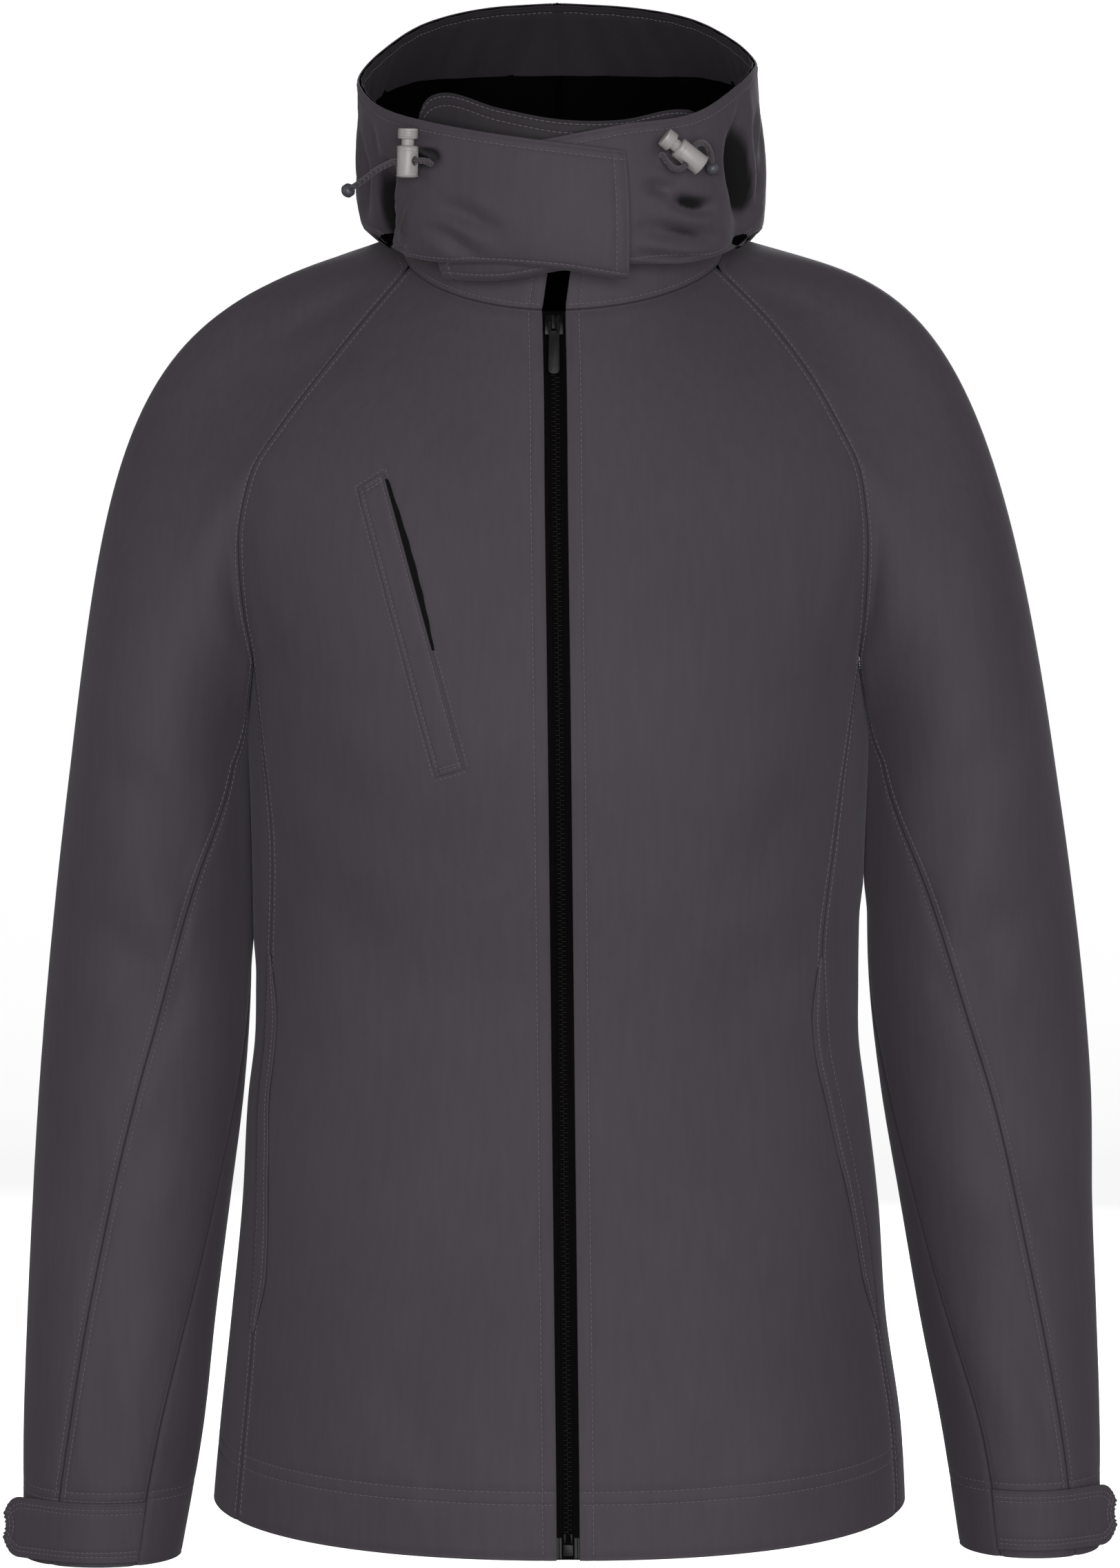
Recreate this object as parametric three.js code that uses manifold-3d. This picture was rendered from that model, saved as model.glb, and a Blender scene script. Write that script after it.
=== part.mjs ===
// Hooded softshell jacket, held out as a hollow worn form. Millimetres, +Z up, front facing -Y.
// The origin is the middle of the neck, where the wearer holds it. Right and left are the wearer's,
// so the right side lies at -X.
import * as THREE from 'three';
import Module from 'manifold-3d';
import { mergeVertices } from 'three/addons/utils/BufferGeometryUtils.js';

const wasm = await Module();
wasm.setup();

// Driving dimensions of the cloth
const WALL = 1.6;
const SEAM_GAP = 0.3;
const MITRE = 0.55;
const SLEEVE_MITRE = 2.0;
const ROUNDNESS = 0.9;
const NECK_WIDTH = { right: 83.5, left: 86.5 };
const NECK_DEPTH = 77;
const NECK_MIDDLE_Y = -9;
const ARM_TOP_Z = -252;
const CUFF_Z = { right: -678.5, left: -673.5 };
const FRONT_CORNER = 72;
const BACK_CORNER = 120;

// Sampling shared by neighbouring pieces, so that their seams run side by side
const YOKE_ROWS = 9;
const BODY_ROWS = 12;
const FRONT_COLUMNS = 9;
const SHOULDER_COLUMNS = 4;
const BACK_COLUMNS = 7;
const SIDE_COLUMNS = 4;
const SLEEVE_ROWS = 15;

const CLOTH = { color: 0x4a444b, roughness: 0.8, metalness: 0 };
const BLACK = { color: 0x0b090b, roughness: 0.7, metalness: 0 };
const PLASTIC = { color: 0xa09a96, roughness: 0.45, metalness: 0 };
const ZIP_METAL = { color: 0x141214, roughness: 0.4, metalness: 0.3 };

// Body rings by height: half widths to each side, depths before and behind the middle
const TORSO = [
  { z: -195, right: 166.5, left: 163.0, front: 126, back: 116 },
  { z: -235, right: 165.0, left: 162.5, front: 127.5, back: 112 },
  { z: -300, right: 163.6, left: 161.0, front: 120, back: 103 },
  { z: -372, right: 163.3, left: 160.2, front: 110, back: 93 },
  { z: -402, right: 164.0, left: 160.6, front: 111, back: 95 },
  { z: -430, right: 167.4, left: 164.2, front: 114, back: 99 },
  { z: -490, right: 171.0, left: 171.4, front: 122, back: 111 },
  { z: -550, right: 177.0, left: 175.6, front: 130, back: 121 },
  { z: -610, right: 183.4, left: 184.0, front: 135, back: 129 },
  { z: -660, right: 188.0, left: 187.0, front: 138, back: 132 },
];

// Side-front and side-back seams: degrees round the body from the centre front
const BODY_SEAMS = [
  { z: -195, right: 77, left: 75, back: 106 },
  { z: -231, right: 73, left: 69, back: 109 },
  { z: -286, right: 67.5, left: 63, back: 112 },
  { z: -350, right: 69, left: 58, back: 113 },
  { z: -404, right: 71, left: 60, back: 113 },
  { z: -470, right: 69, left: 66, back: 112 },
  { z: -550, right: 65.5, left: 73, back: 111 },
  { z: -660, right: 65, left: 74, back: 110 },
];

// Centre front (the zip line) and centre back by height on the body
const CENTRE_LINES = [
  { z: 5, x: -3.4, front: -82, back: 86 },
  { z: -13, x: -3.2, front: -86, back: 93 },
  { z: -45, x: -2.8, front: -98, back: 102 },
  { z: -90, x: -2.2, front: -111, back: 111 },
  { z: -135, x: -1.6, front: -119, back: 116.5 },
  { z: -180, x: -1.0, front: -124.5, back: 117 },
  { z: -235, x: -0.3, front: -127.5, back: 112 },
  { z: -300, x: 0.4, front: -120, back: 103 },
  { z: -372, x: 1.2, front: -110, back: 93 },
  { z: -430, x: 1.8, front: -114, back: 99 },
  { z: -490, x: 2.5, front: -122, back: 111 },
  { z: -550, x: 3.2, front: -130, back: 121 },
  { z: -610, x: 3.9, front: -135, back: 129 },
  { z: -660, x: 4.3, front: -138, back: 132 },
];

// Raglan seam and armhole as one closed line: turn is the angle round the sleeve, 0 before,
// 90 at the neck, 180 behind, -90 and 270 under the arm. Swing is how far round the body arc it lies.
const ARMHOLE = [
  { turn: -110, right: 164.6, left: 162.6, y: 34, z: -207, swing: 106 },
  { turn: -90, right: 167.4, left: 165.0, y: 1, z: -214, swing: 90 },
  { turn: -72, right: 162.5, left: 158.4, y: -33, z: -198, swing: 77 },
  { turn: -58, right: 166.2, left: 160.4, y: -45, z: -176, swing: 70 },
  { turn: -40, right: 168.6, left: 161.6, y: -56, z: -148, swing: 64 },
  { turn: -22, right: 167.6, left: 160.8, y: -63, z: -122, swing: 61 },
  { turn: -8, right: 161.0, left: 156.8, y: -66.5, z: -96, swing: 60 },
  { turn: 8, right: 147.6, left: 147.0, y: -66.5, z: -75, swing: 60 },
  { turn: 25, right: 125.0, left: 130.0, y: -60, z: -45, swing: 62 },
  { turn: 42, right: 101.6, left: 108.0, y: -47, z: -16, swing: 66 },
  { turn: 60, right: 79.4, left: 82.3, y: -32.8, z: 10.4, swing: 72 },
  { turn: 120, right: 72.3, left: 74.9, y: 29.5, z: 34.2, swing: 64 },
  { turn: 138, right: 98.0, left: 103.0, y: 51, z: 5, swing: 60 },
  { turn: 155, right: 124.0, left: 129.0, y: 70, z: -36, swing: 58 },
  { turn: 172, right: 145.0, left: 145.0, y: 79, z: -74, swing: 58 },
  { turn: 188, right: 158.0, left: 154.5, y: 80, z: -108, swing: 60 },
  { turn: 206, right: 164.5, left: 160.0, y: 72, z: -147, swing: 64 },
  { turn: 225, right: 165.5, left: 162.0, y: 56, z: -182, swing: 69 },
  { turn: 250, right: 164.6, left: 162.6, y: 34, z: -207, swing: 74 },
];
const FRONT_JOIN = -72;
const BACK_JOIN = 250;

// Arm sections by height: outer and inner edges, half depth, and how far they lie behind the middle
const ARM = [
  { z: -252, outer_right: 262.4, inner_right: 168.0, outer_left: 265.4, inner_left: 165.9, depth: 62, y: 5 },
  { z: -311, outer_right: 269.8, inner_right: 167.2, outer_left: 274.3, inner_left: 165.4, depth: 60, y: 8 },
  { z: -371, outer_right: 276.1, inner_right: 166.6, outer_left: 281.7, inner_left: 166.6, depth: 58, y: 9 },
  { z: -430, outer_right: 281.0, inner_right: 170.4, outer_left: 286.4, inner_left: 173.2, depth: 56, y: 7 },
  { z: -490, outer_right: 284.4, inner_right: 177.9, outer_left: 287.0, inner_left: 183.4, depth: 53, y: 2 },
  { z: -550, outer_right: 287.0, inner_right: 185.4, outer_left: 289.0, inner_left: 193.6, depth: 49, y: -5 },
  { z: -611, outer_right: 288.8, inner_right: 192.0, outer_left: 290.6, inner_left: 205.5, depth: 44, y: -12 },
  { z: -680, outer_right: 288.4, inner_right: 204.0, outer_left: 290.2, inner_left: 216.0, depth: 38, y: -20 },
];

// Front and underarm sleeve seams: the turn round the sleeve, by the share of the way down it
const SLEEVE_SEAMS = [
  { down: 0, front: -72, under: -110 },
  { down: 0.3, front: -62, under: -112 },
  { down: 0.4, front: -31, under: -104 },
  { down: 0.55, front: -6, under: -78 },
  { down: 0.75, front: 14, under: -52 },
  { down: 0.9, front: 27, under: -32 },
  { down: 1, front: 36, under: -29 },
];

// Hood by the angle round the neck: lower fold, rim, and how far the bag swells between them
const HOOD = [
  { turn: -40, low: 101, low_z: 3, rim: 109, right_z: 64, left_z: 66, swell: 4, lean: 4, drop: 24 },
  { turn: -18, low: 103, low_z: 2, rim: 110, right_z: 68, left_z: 69, swell: 8, lean: 6, drop: 24 },
  { turn: 0, low: 104, low_z: 7, rim: 110, right_z: 72, left_z: 75, swell: 8, lean: 6, drop: 24 },
  { turn: 18, low: 104, low_z: 10, rim: 110, right_z: 77, left_z: 81.5, swell: 8, lean: 6, drop: 24 },
  { turn: 40, low: 104, low_z: 12, rim: 110, right_z: 85, left_z: 88, swell: 9, lean: 5, drop: 26 },
  { turn: 60, low: 102, low_z: 19, rim: 109, right_z: 94, left_z: 104, swell: 10, lean: 4, drop: 28 },
  { turn: 78, low: 102, low_z: 28, rim: 107, right_z: 105, left_z: 115, swell: 11, lean: 1, drop: 30 },
  { turn: 92, low: 104, low_z: 30, rim: 106, right_z: 112, left_z: 120, swell: 9, lean: 0, drop: 32 },
  { turn: 115, low: 108, low_z: 25, rim: 105, right_z: 128, left_z: 134, swell: 15, lean: 10, drop: 38 },
  { turn: 140, low: 117, low_z: 6, rim: 109, right_z: 146.5, left_z: 149, swell: 32, lean: 32, drop: 44 },
  { turn: 160, low: 125, low_z: -22, rim: 114, right_z: 155.5, left_z: 156, swell: 40, lean: 44, drop: 46 },
  { turn: 180, low: 128, low_z: -36, rim: 116, right_z: 159, left_z: 159, swell: 42, lean: 48, drop: 46 },
];
const OUTER_FLAP_END = -18;
const UNDER_FLAP_END = -39;
const HOOD_JOIN = 40;
const FLAP_LIFT = 2.9;
const HOOD_ROWS = 8;
const ROLL_ROWS = 3;
const HOOD_COLUMNS = 18;
const FACING_ROWS = [0, 1, 1.6];
const FACING_START = 3;
const FACING_WALL = 0.8;
const SIDE_FOLD = { depth: 8, width: 9, low: 70, high: 52 };

// Guard standing inside the front of the hood: its top edge by the angle round the neck, left positive
const GUARD = [
  { turn: -46, z: 95 },
  { turn: -38, z: 98.5 },
  { turn: -18, z: 90 },
  { turn: 0, z: 84 },
  { turn: 18, z: 84 },
  { turn: 36, z: 90 },
  { turn: 46, z: 90 },
];
const GUARD_END = 46;
const GUARD_RIM = 101.5;
const GUARD_CORNER = 9;
const GUARD_COLUMNS = 14;
const GUARD_ROWS = 5;

// Front zip
const ZIP_HALF_SLOT = 6.3;
const TAPE_INNER = 3.0;
const TAPE_OUTER = 11;
const TAPE_WALL = 0.9;
const TAPE_DEPTH = WALL + 0.5;
const CHAIN_HALF = 2.6;
const CHAIN_THICK = 2.2;

// Pockets
const WELT_CORNERS = [[-103.8, -105.5], [-91.3, -97.7], [-49.4, -248.5], [-63.6, -253.1]];
const WELT_WALL = 1.0;
const SLIT_WIDTH = 3.2;
const SIDE_POCKET = { top: -352, bottom: -552, width: 13, wall: 0.9 };

// Cuff tabs
const TAB = { start: -29, leave: 34, height: 31, corner: 9, wall: 2.0, reach: 295.5 };
const TAB_MIDDLE_Z = { right: -660.4, left: -653.6 };

// Drawcords and cord locks
const CORD_RADIUS = 1.6;
const CORD_SIDES = 8;
const LOCK = { radius: 5.5, height: 16.5, floor: 2.5, bore: 3.7, cord_z: 8.6, hole: 2.0 };
const PLUNGER = { radius: 3.3, bottom: 5.8, travel: 3, head_z: 19.9, top: 25.2, head: 5.1 };

const radians = THREE.MathUtils.degToRad;
const vector = (x, y, z) => new THREE.Vector3(x, y, z);
const mix = (a, b, share) => a + (b - a) * share;
const easeBetween = (low, high, value) => THREE.MathUtils.smoothstep(value, low, high);
const signOf = (side) => (side === 'right' ? -1 : 1);
const turned = (side, x) => signOf(side) * x;

/** A smooth curve through one column of a table, read by another column. */
function column(rows, key, name) {
  const k = rows.map((row) => row[key]);
  const f = rows.map((row) => row[name]);
  const rise = k.slice(1).map((next, i) => (f[i + 1] - f[i]) / (next - k[i]));
  const slope = k.map((_, i) => {
    if (i === 0) return rise[0];
    if (i === k.length - 1) return rise[i - 1];
    const before = Math.abs(k[i] - k[i - 1]);
    const after = Math.abs(k[i + 1] - k[i]);
    return (rise[i - 1] * after + rise[i] * before) / (before + after);
  });
  const forward = k[k.length - 1] > k[0] ? 1 : -1;
  return (at) => {
    let i = 0;
    while (i < k.length - 2 && (at - k[i + 1]) * forward > 0) i += 1;
    const span = k[i + 1] - k[i];
    const s = THREE.MathUtils.clamp((at - k[i]) / span, 0, 1);
    const s2 = s * s;
    const s3 = s2 * s;
    return (2 * s3 - 3 * s2 + 1) * f[i] + (s3 - 2 * s2 + s) * span * slope[i]
      + (3 * s2 - 2 * s3) * f[i + 1] + (s3 - s2) * span * slope[i + 1];
  };
}

/** All columns of a table as curves, by name. */
function curves(rows, key) {
  const names = Object.keys(rows[0]).filter((name) => name !== key);
  return Object.fromEntries(names.map((name) => [name, column(rows, key, name)]));
}

const torso = curves(TORSO, 'z');
const bodySeams = curves(BODY_SEAMS, 'z');
const centre = curves(CENTRE_LINES, 'z');
const armholeCurves = curves(ARMHOLE, 'turn');
const arm = curves(ARM, 'z');
const sleeveSeams = curves(SLEEVE_SEAMS, 'down');
const hood = curves(HOOD, 'turn');
const guard = curves(GUARD, 'turn');

/** Neck seam ring: an ellipse, lower in front, read in degrees from the centre front. */
function neck(side, degrees) {
  const a = radians(degrees);
  const sine = Math.sin(a);
  const lift = 17 - 30 * Math.cos(a) + 3 * sine * sine;
  return vector(turned(side, NECK_WIDTH[side] * sine), NECK_MIDDLE_Y - NECK_DEPTH * Math.cos(a), lift);
}

/** The closed raglan and armhole line; its top stretch is the neck ring itself. */
function armhole(side, turn) {
  if (turn >= 60 && turn <= 120) {
    return neck(side, mix(FRONT_CORNER, BACK_CORNER, (turn - 60) / 60));
  }
  const c = armholeCurves;
  return vector(turned(side, c[side](turn)), c.y(turn), c.z(turn));
}

/** Height of the hem round the body: lowest at the centre front, highest at the sides. */
function hemAt(degrees) {
  const cosine = Math.cos(radians(degrees));
  return -645 - (cosine > 0 ? 13 : 4) * Math.abs(cosine) ** 0.6;
}

/** Body ring below the armholes: a rounded ellipse, deeper or shallower before and behind. */
function ring(side, degrees, z) {
  const a = radians(degrees);
  const across = Math.abs(Math.sin(a)) ** ROUNDNESS;
  const along = Math.abs(Math.cos(a)) ** ROUNDNESS;
  const y = degrees < 90 ? -torso.front(z) * along : torso.back(z) * along;
  return vector(turned(side, torso[side](z) * across), y, z);
}

/** Rows down the body: the yoke rows end on the armhole, the others on a body seam. */
function bodyRow(side, j, behind) {
  const join = behind ? BACK_JOIN : FRONT_JOIN;
  if (j <= YOKE_ROWS) {
    const turn = mix(behind ? 120 : 60, join, j / YOKE_ROWS);
    const end = armhole(side, turn);
    return { end, swing: armholeCurves.swing(turn) };
  }
  const share = (j - YOKE_ROWS) / BODY_ROWS;
  const start = armhole(side, join);
  const seam = behind ? (z) => 180 - bodySeams.back(z) : bodySeams[side];
  const z = mix(start.z, hemAt(behind ? 110 : 70), share);
  const swing = seam(z);
  const end = ring(side, behind ? 180 - swing : swing, z);
  const settle = Math.max(0, 1 - share * 6);
  const base = ring(side, behind ? 180 - seam(start.z) : seam(start.z), start.z);
  end.addScaledVector(start.clone().sub(base), settle * settle);
  return { end, swing };
}

const FRONT_TOP = -13;
const BACK_TOP = 47;

/** Height of the centre line at a row, from the neck to the hem. */
function centreHeight(j, behind) {
  const top = behind ? BACK_TOP : FRONT_TOP;
  const middle = behind ? -212 : -213;
  const hem = hemAt(behind ? 180 : 0);
  if (j <= YOKE_ROWS) return mix(top, middle, j / YOKE_ROWS);
  return mix(middle, hem, (j - YOKE_ROWS) / BODY_ROWS);
}

/** Where the centre line lies at a row. */
function centrePoint(j, behind) {
  const z = centreHeight(j, behind);
  if (behind && z > 5) {
    const up = (z - 5) / (BACK_TOP - 5);
    return vector(0, mix(86, NECK_MIDDLE_Y + NECK_DEPTH, up ** 1.3), z);
  }
  return vector(behind ? 0 : centre.x(z), behind ? centre.back(z) : centre.front(z), z);
}

/**
 * A point on the body: row j, share u from the centre line to the row's end, along part of an ellipse.
 * The first rows ease into the neck ring.
 */
function bodyPoint(side, j, u, behind = false) {
  const { end, swing } = bodyRow(side, j, behind);
  const start = centrePoint(j, behind);
  const s = radians(swing);
  const power = mix(1, ROUNDNESS, Math.min(1, j / YOKE_ROWS));
  const across = (Math.sin(s * u) / Math.sin(s)) ** power;
  const round = (1 - Math.cos(s * u) ** power) / (1 - Math.cos(s) ** power);
  const point = vector(
    mix(start.x, end.x, across), mix(start.y, end.y, round), mix(start.z, end.z, round),
  );
  const near = 1 - easeBetween(0, YOKE_ROWS * 0.5, j);
  if (near > 0) {
    const corner = behind ? 180 - BACK_CORNER : FRONT_CORNER;
    const target = neck(side, behind ? 180 - corner * u : corner * u);
    target.x += (1 - u) * start.x;
    const first = bodyArc(side, u, behind);
    point.addScaledVector(target.sub(first), near);
  }
  return point;
}

/** The first row's plain arc, before it is eased into the neck ring. */
function bodyArc(side, u, behind) {
  const { end, swing } = bodyRow(side, 0, behind);
  const start = centrePoint(0, behind);
  const s = radians(swing);
  const across = Math.sin(s * u) / Math.sin(s);
  const round = (1 - Math.cos(s * u)) / (1 - Math.cos(s));
  return vector(mix(start.x, end.x, across), mix(start.y, end.y, round), mix(start.z, end.z, round));
}

/** Share u along a front row at which the panel lies a distance from the zip line. */
function shareAt(side, j, distance) {
  const { end, swing } = bodyRow(side, j, false);
  const width = Math.abs(end.x - centrePoint(j, false).x);
  const power = mix(1, ROUNDNESS, Math.min(1, j / YOKE_ROWS));
  const s = radians(swing);
  return Math.asin((distance / width) ** (1 / power) * Math.sin(s)) / s;
}

/** Arm section: an ellipse at one height, outer edge at 90 degrees. */
function armPoint(side, turn, z) {
  const outer = arm[`outer_${side}`](z);
  const inner = arm[`inner_${side}`](z);
  const a = radians(turn);
  const x = (outer + inner) / 2 + ((outer - inner) / 2) * Math.sin(a);
  return vector(turned(side, x), arm.y(z) - arm.depth(z) * Math.cos(a), z);
}

const SHOULDER_SHARE = 0.3;
const BACK_SLOPE = 0.012;
// How far the shoulder line runs out from the neck and rises to the arm, as shares of its reach
const SHOULDER = {
  right: { slope: 0.125, leave: 1.36, arrive: 1.59 },
  left: { slope: 0.105, leave: 0.91, arrive: 2.31 },
};

/** Sleeve: cubic curves from the armhole over the shoulder to the arm, then straight sections. */
function sleevePoint(side, turn, down) {
  if (down > SHOULDER_SHARE) {
    const z = mix(ARM_TOP_Z, CUFF_Z[side], (down - SHOULDER_SHARE) / (1 - SHOULDER_SHARE));
    return armPoint(side, turn, z);
  }
  const h = down / SHOULDER_SHARE;
  const start = armhole(side, turn > 250 ? turn - 360 : turn);
  const end = armPoint(side, turn, ARM_TOP_Z);
  const below = armPoint(side, turn, ARM_TOP_Z - 4);
  const reach = start.distanceTo(end);
  const a = radians(turn);
  const upness = (1 + Math.sin(a)) / 2;
  const shape = SHOULDER[side];
  const leave = vector(
    turned(side, upness + 0.12 * (1 - upness)), 0.4 * Math.cos(a) * upness,
    -(shape.slope + Math.max(0, start.z - 20) * BACK_SLOPE) * upness - (1 - upness),
  ).normalize().multiplyScalar(reach * mix(1, shape.leave, upness));
  const arriveReach = reach * mix(1, shape.arrive, upness * upness);
  const arrive = below.sub(end).normalize().multiplyScalar(arriveReach);
  const h2 = h * h;
  const h3 = h2 * h;
  return start.multiplyScalar(2 * h3 - 3 * h2 + 1)
    .addScaledVector(leave, h3 - 2 * h2 + h)
    .addScaledVector(end, 3 * h2 - 2 * h3)
    .addScaledVector(arrive, h3 - h2);
}

/** Where the collar ends and the hood starts inside its lower fold. */
function collarTop(side, degrees) {
  const base = neck(side, degrees);
  const rise = 24 - 5 * easeBetween(60, 180, degrees);
  return vector(base.x * 0.985, NECK_MIDDLE_Y + (base.y - NECK_MIDDLE_Y) * 0.985, base.z + rise);
}

const outward = (side, degrees) => {
  const a = radians(degrees);
  return vector(turned(side, Math.sin(a)), -Math.cos(a), 0);
};

/** How far a flap stands out over or under the other one, near the centre front. */
function layer(side, degrees) {
  const high = side === 'right' ? [40, 62] : [24, 48];
  return turned(side, -FLAP_LIFT) * (1 - easeBetween(high[0], high[1], degrees));
}

const bezier = (p, t) => new THREE.CubicBezierCurve3(...p).getPoint(t);

/** Outer face of the hood: a cubic curve from its lower fold, t 0, to its rim, t 1. */
function hoodPoint(side, degrees, t) {
  const out = outward(side, degrees);
  const lift = layer(side, degrees);
  const low = out.clone().multiplyScalar(hood.low(degrees) + lift).setZ(hood.low_z(degrees));
  const rim = out.clone().multiplyScalar(hood.rim(degrees) + lift).setZ(hood[`${side}_z`](degrees));
  const first = low.clone().addScaledVector(out, hood.swell(degrees));
  const second = rim.clone().addScaledVector(out, hood.lean(degrees));
  second.z -= hood.drop(degrees);
  const point = bezier([low, first, second, rim], t);
  const fold = mix(SIDE_FOLD.low, SIDE_FOLD.high, t);
  const near = Math.exp(-(((degrees - fold) / SIDE_FOLD.width) ** 2));
  const held = easeBetween(0, 0.15, t) * (1 - easeBetween(0.55, 0.9, t));
  point.addScaledVector(out, -SIDE_FOLD.depth * near * held);
  point.x += mix(2, -1.5, t);
  return point;
}

/** Under side of the hood's lower fold: from the collar top, t 0, out to the fold, t 1. */
function rollPoint(side, degrees, t) {
  const out = outward(side, degrees);
  const start = collarTop(side, degrees).addScaledVector(out, SEAM_GAP);
  const end = hoodPoint(side, degrees, 0);
  const width = Math.hypot(end.x - start.x, end.y - start.y);
  const first = start.clone().addScaledVector(out, width * 0.3);
  first.z += Math.min(0, end.z - start.z) * 0.25;
  const second = end.clone().addScaledVector(out, -width * 0.45);
  second.z += Math.max(0, start.z - end.z) * 0.25;
  return bezier([start, first, second, end], t);
}

/** Hood section from the collar top, round the lower fold, to the rim: row 0 to the last row. */
function hoodSection(side, degrees, row) {
  if (row < ROLL_ROWS) return rollPoint(side, degrees, row / ROLL_ROWS);
  return hoodPoint(side, degrees, (row - ROLL_ROWS) / HOOD_ROWS);
}

/** Guard: from just above and inside the collar top, t 0, up to its top edge with rounded corners, t 1. */
function guardPoint(turn, t) {
  const side = turn < 0 ? 'right' : 'left';
  const out = outward(side, Math.abs(turn));
  const start = collarTop(side, Math.abs(turn)).addScaledVector(out, -2 * SEAM_GAP);
  start.z += 2 * SEAM_GAP;
  const fromEnd = radians(GUARD_END - Math.abs(turn)) * GUARD_RIM;
  const short = Math.max(0, GUARD_CORNER - fromEnd);
  const dip = GUARD_CORNER - Math.sqrt(GUARD_CORNER ** 2 - short ** 2);
  const top = out.clone().multiplyScalar(GUARD_RIM).setZ(guard.z(turn) - dip);
  const first = start.clone().addScaledVector(out, 5).setZ(mix(start.z, top.z, 0.3));
  const second = top.clone().setZ(mix(start.z, top.z, 0.65));
  return bezier([start, first, second, top], t);
}

/** Unit step from one point to the next. */
const stepFrom = (from, to) => to.clone().sub(from).normalize();

/**
 * A closed cloth wall over a grid of outer points: the inner face lies one wall inside, the edges
 * stand half a seam gap back, and the inner edges a little more, so that bent seams stay clear.
 */
function wall(grid, thickness, { flip = false, gap = SEAM_GAP, mitre = MITRE, lift = 0 } = {}) {
  const columns = grid.length - 1;
  const rows = grid[0].length - 1;
  const at = (i, j) => grid[Math.min(Math.max(i, 0), columns)][Math.min(Math.max(j, 0), rows)];
  const outer = [];
  const inner = [];
  for (let i = 0; i <= columns; i += 1) {
    for (let j = 0; j <= rows; j += 1) {
      const point = at(i, j);
      const along = at(i + 1, j).clone().sub(at(i - 1, j));
      const down = at(i, j + 1).clone().sub(at(i, j - 1));
      const normal = along.cross(down).normalize().multiplyScalar(flip ? -1 : 1);
      const back = vector(0, 0, 0);
      if (i === 0) back.add(stepFrom(point, at(1, j)));
      if (i === columns) back.add(stepFrom(point, at(columns - 1, j)));
      if (j === 0) back.add(stepFrom(point, at(i, 1)));
      if (j === rows) back.add(stepFrom(point, at(i, rows - 1)));
      const face = point.clone().addScaledVector(normal, lift);
      outer.push(face.clone().addScaledVector(back, gap / 2));
      const behind = face.clone().addScaledVector(back, gap / 2 + mitre);
      inner.push(behind.addScaledVector(normal, -thickness));
    }
  }
  return closedSkin(outer, inner, columns, rows, flip);
}

/** Two grids of points joined along their edges into one closed body. */
function closedSkin(outer, inner, columns, rows, flip) {
  const points = [...outer, ...inner];
  const shift = outer.length;
  const id = (i, j, layerShift) => i * (rows + 1) + j + layerShift;
  const index = [];
  const quad = (a, b, c, d) => {
    const shorter = points[a].distanceTo(points[c]) <= points[b].distanceTo(points[d]);
    const [p, q, r, t] = shorter ? [a, b, c, d] : [b, c, d, a];
    if (flip) index.push(p, r, q, p, t, r);
    else index.push(p, q, r, p, r, t);
  };
  for (let i = 0; i < columns; i += 1) {
    for (let j = 0; j < rows; j += 1) {
      quad(id(i, j, 0), id(i + 1, j, 0), id(i + 1, j + 1, 0), id(i, j + 1, 0));
      quad(id(i, j, shift), id(i, j + 1, shift), id(i + 1, j + 1, shift), id(i + 1, j, shift));
    }
  }
  for (let i = 0; i < columns; i += 1) {
    quad(id(i, 0, 0), id(i, 0, shift), id(i + 1, 0, shift), id(i + 1, 0, 0));
    quad(id(i, rows, 0), id(i + 1, rows, 0), id(i + 1, rows, shift), id(i, rows, shift));
  }
  for (let j = 0; j < rows; j += 1) {
    quad(id(0, j, 0), id(0, j + 1, 0), id(0, j + 1, shift), id(0, j, shift));
    quad(id(columns, j, 0), id(columns, j, shift), id(columns, j + 1, shift), id(columns, j + 1, 0));
  }
  const geometry = new THREE.BufferGeometry();
  const numbers = points.flatMap((p) => p.toArray());
  geometry.setAttribute('position', new THREE.Float32BufferAttribute(numbers, 3));
  geometry.setIndex(index);
  return geometry;
}

/** Points of a grid with one function of the column and the row. */
function gridOf(columns, rows, pointAt) {
  const list = (count, make) => Array.from({ length: count + 1 }, (_, i) => make(i));
  return list(columns, (i) => list(rows, (j) => pointAt(i, j)));
}

const jacket = new THREE.Group();
jacket.name = 'softshell_jacket';

function add(name, geometry, look, parent = jacket) {
  const mesh = new THREE.Mesh(geometry, new THREE.MeshStandardMaterial(look));
  mesh.name = name;
  parent.add(mesh);
  return mesh;
}

const BOTH = ['right', 'left'];
const ALL_ROWS = YOKE_ROWS + BODY_ROWS;

// Front panels, from the zip slot to the raglan seam, the armhole and the side-front seam
const frontGrids = {};
for (const side of BOTH) {
  const grid = gridOf(FRONT_COLUMNS, ALL_ROWS, (i, j) => {
    const first = shareAt(side, j, ZIP_HALF_SLOT);
    return bodyPoint(side, j, mix(first, 1, i / FRONT_COLUMNS));
  });
  frontGrids[side] = grid;
  add(`front_${side}`, wall(grid, WALL, { flip: side === 'left' }), CLOTH);
}

/** A point between a front panel's own grid points, by fractions of a column and a row. */
function onPanel(side, column, row) {
  const grid = frontGrids[side];
  const i = THREE.MathUtils.clamp(Math.floor(column), 0, FRONT_COLUMNS - 1);
  const j = THREE.MathUtils.clamp(Math.floor(row), 0, ALL_ROWS - 1);
  const before = grid[i][j].clone().lerp(grid[i][j + 1], row - j);
  const after = grid[i + 1][j].clone().lerp(grid[i + 1][j + 1], row - j);
  return before.lerp(after, column - i);
}

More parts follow.
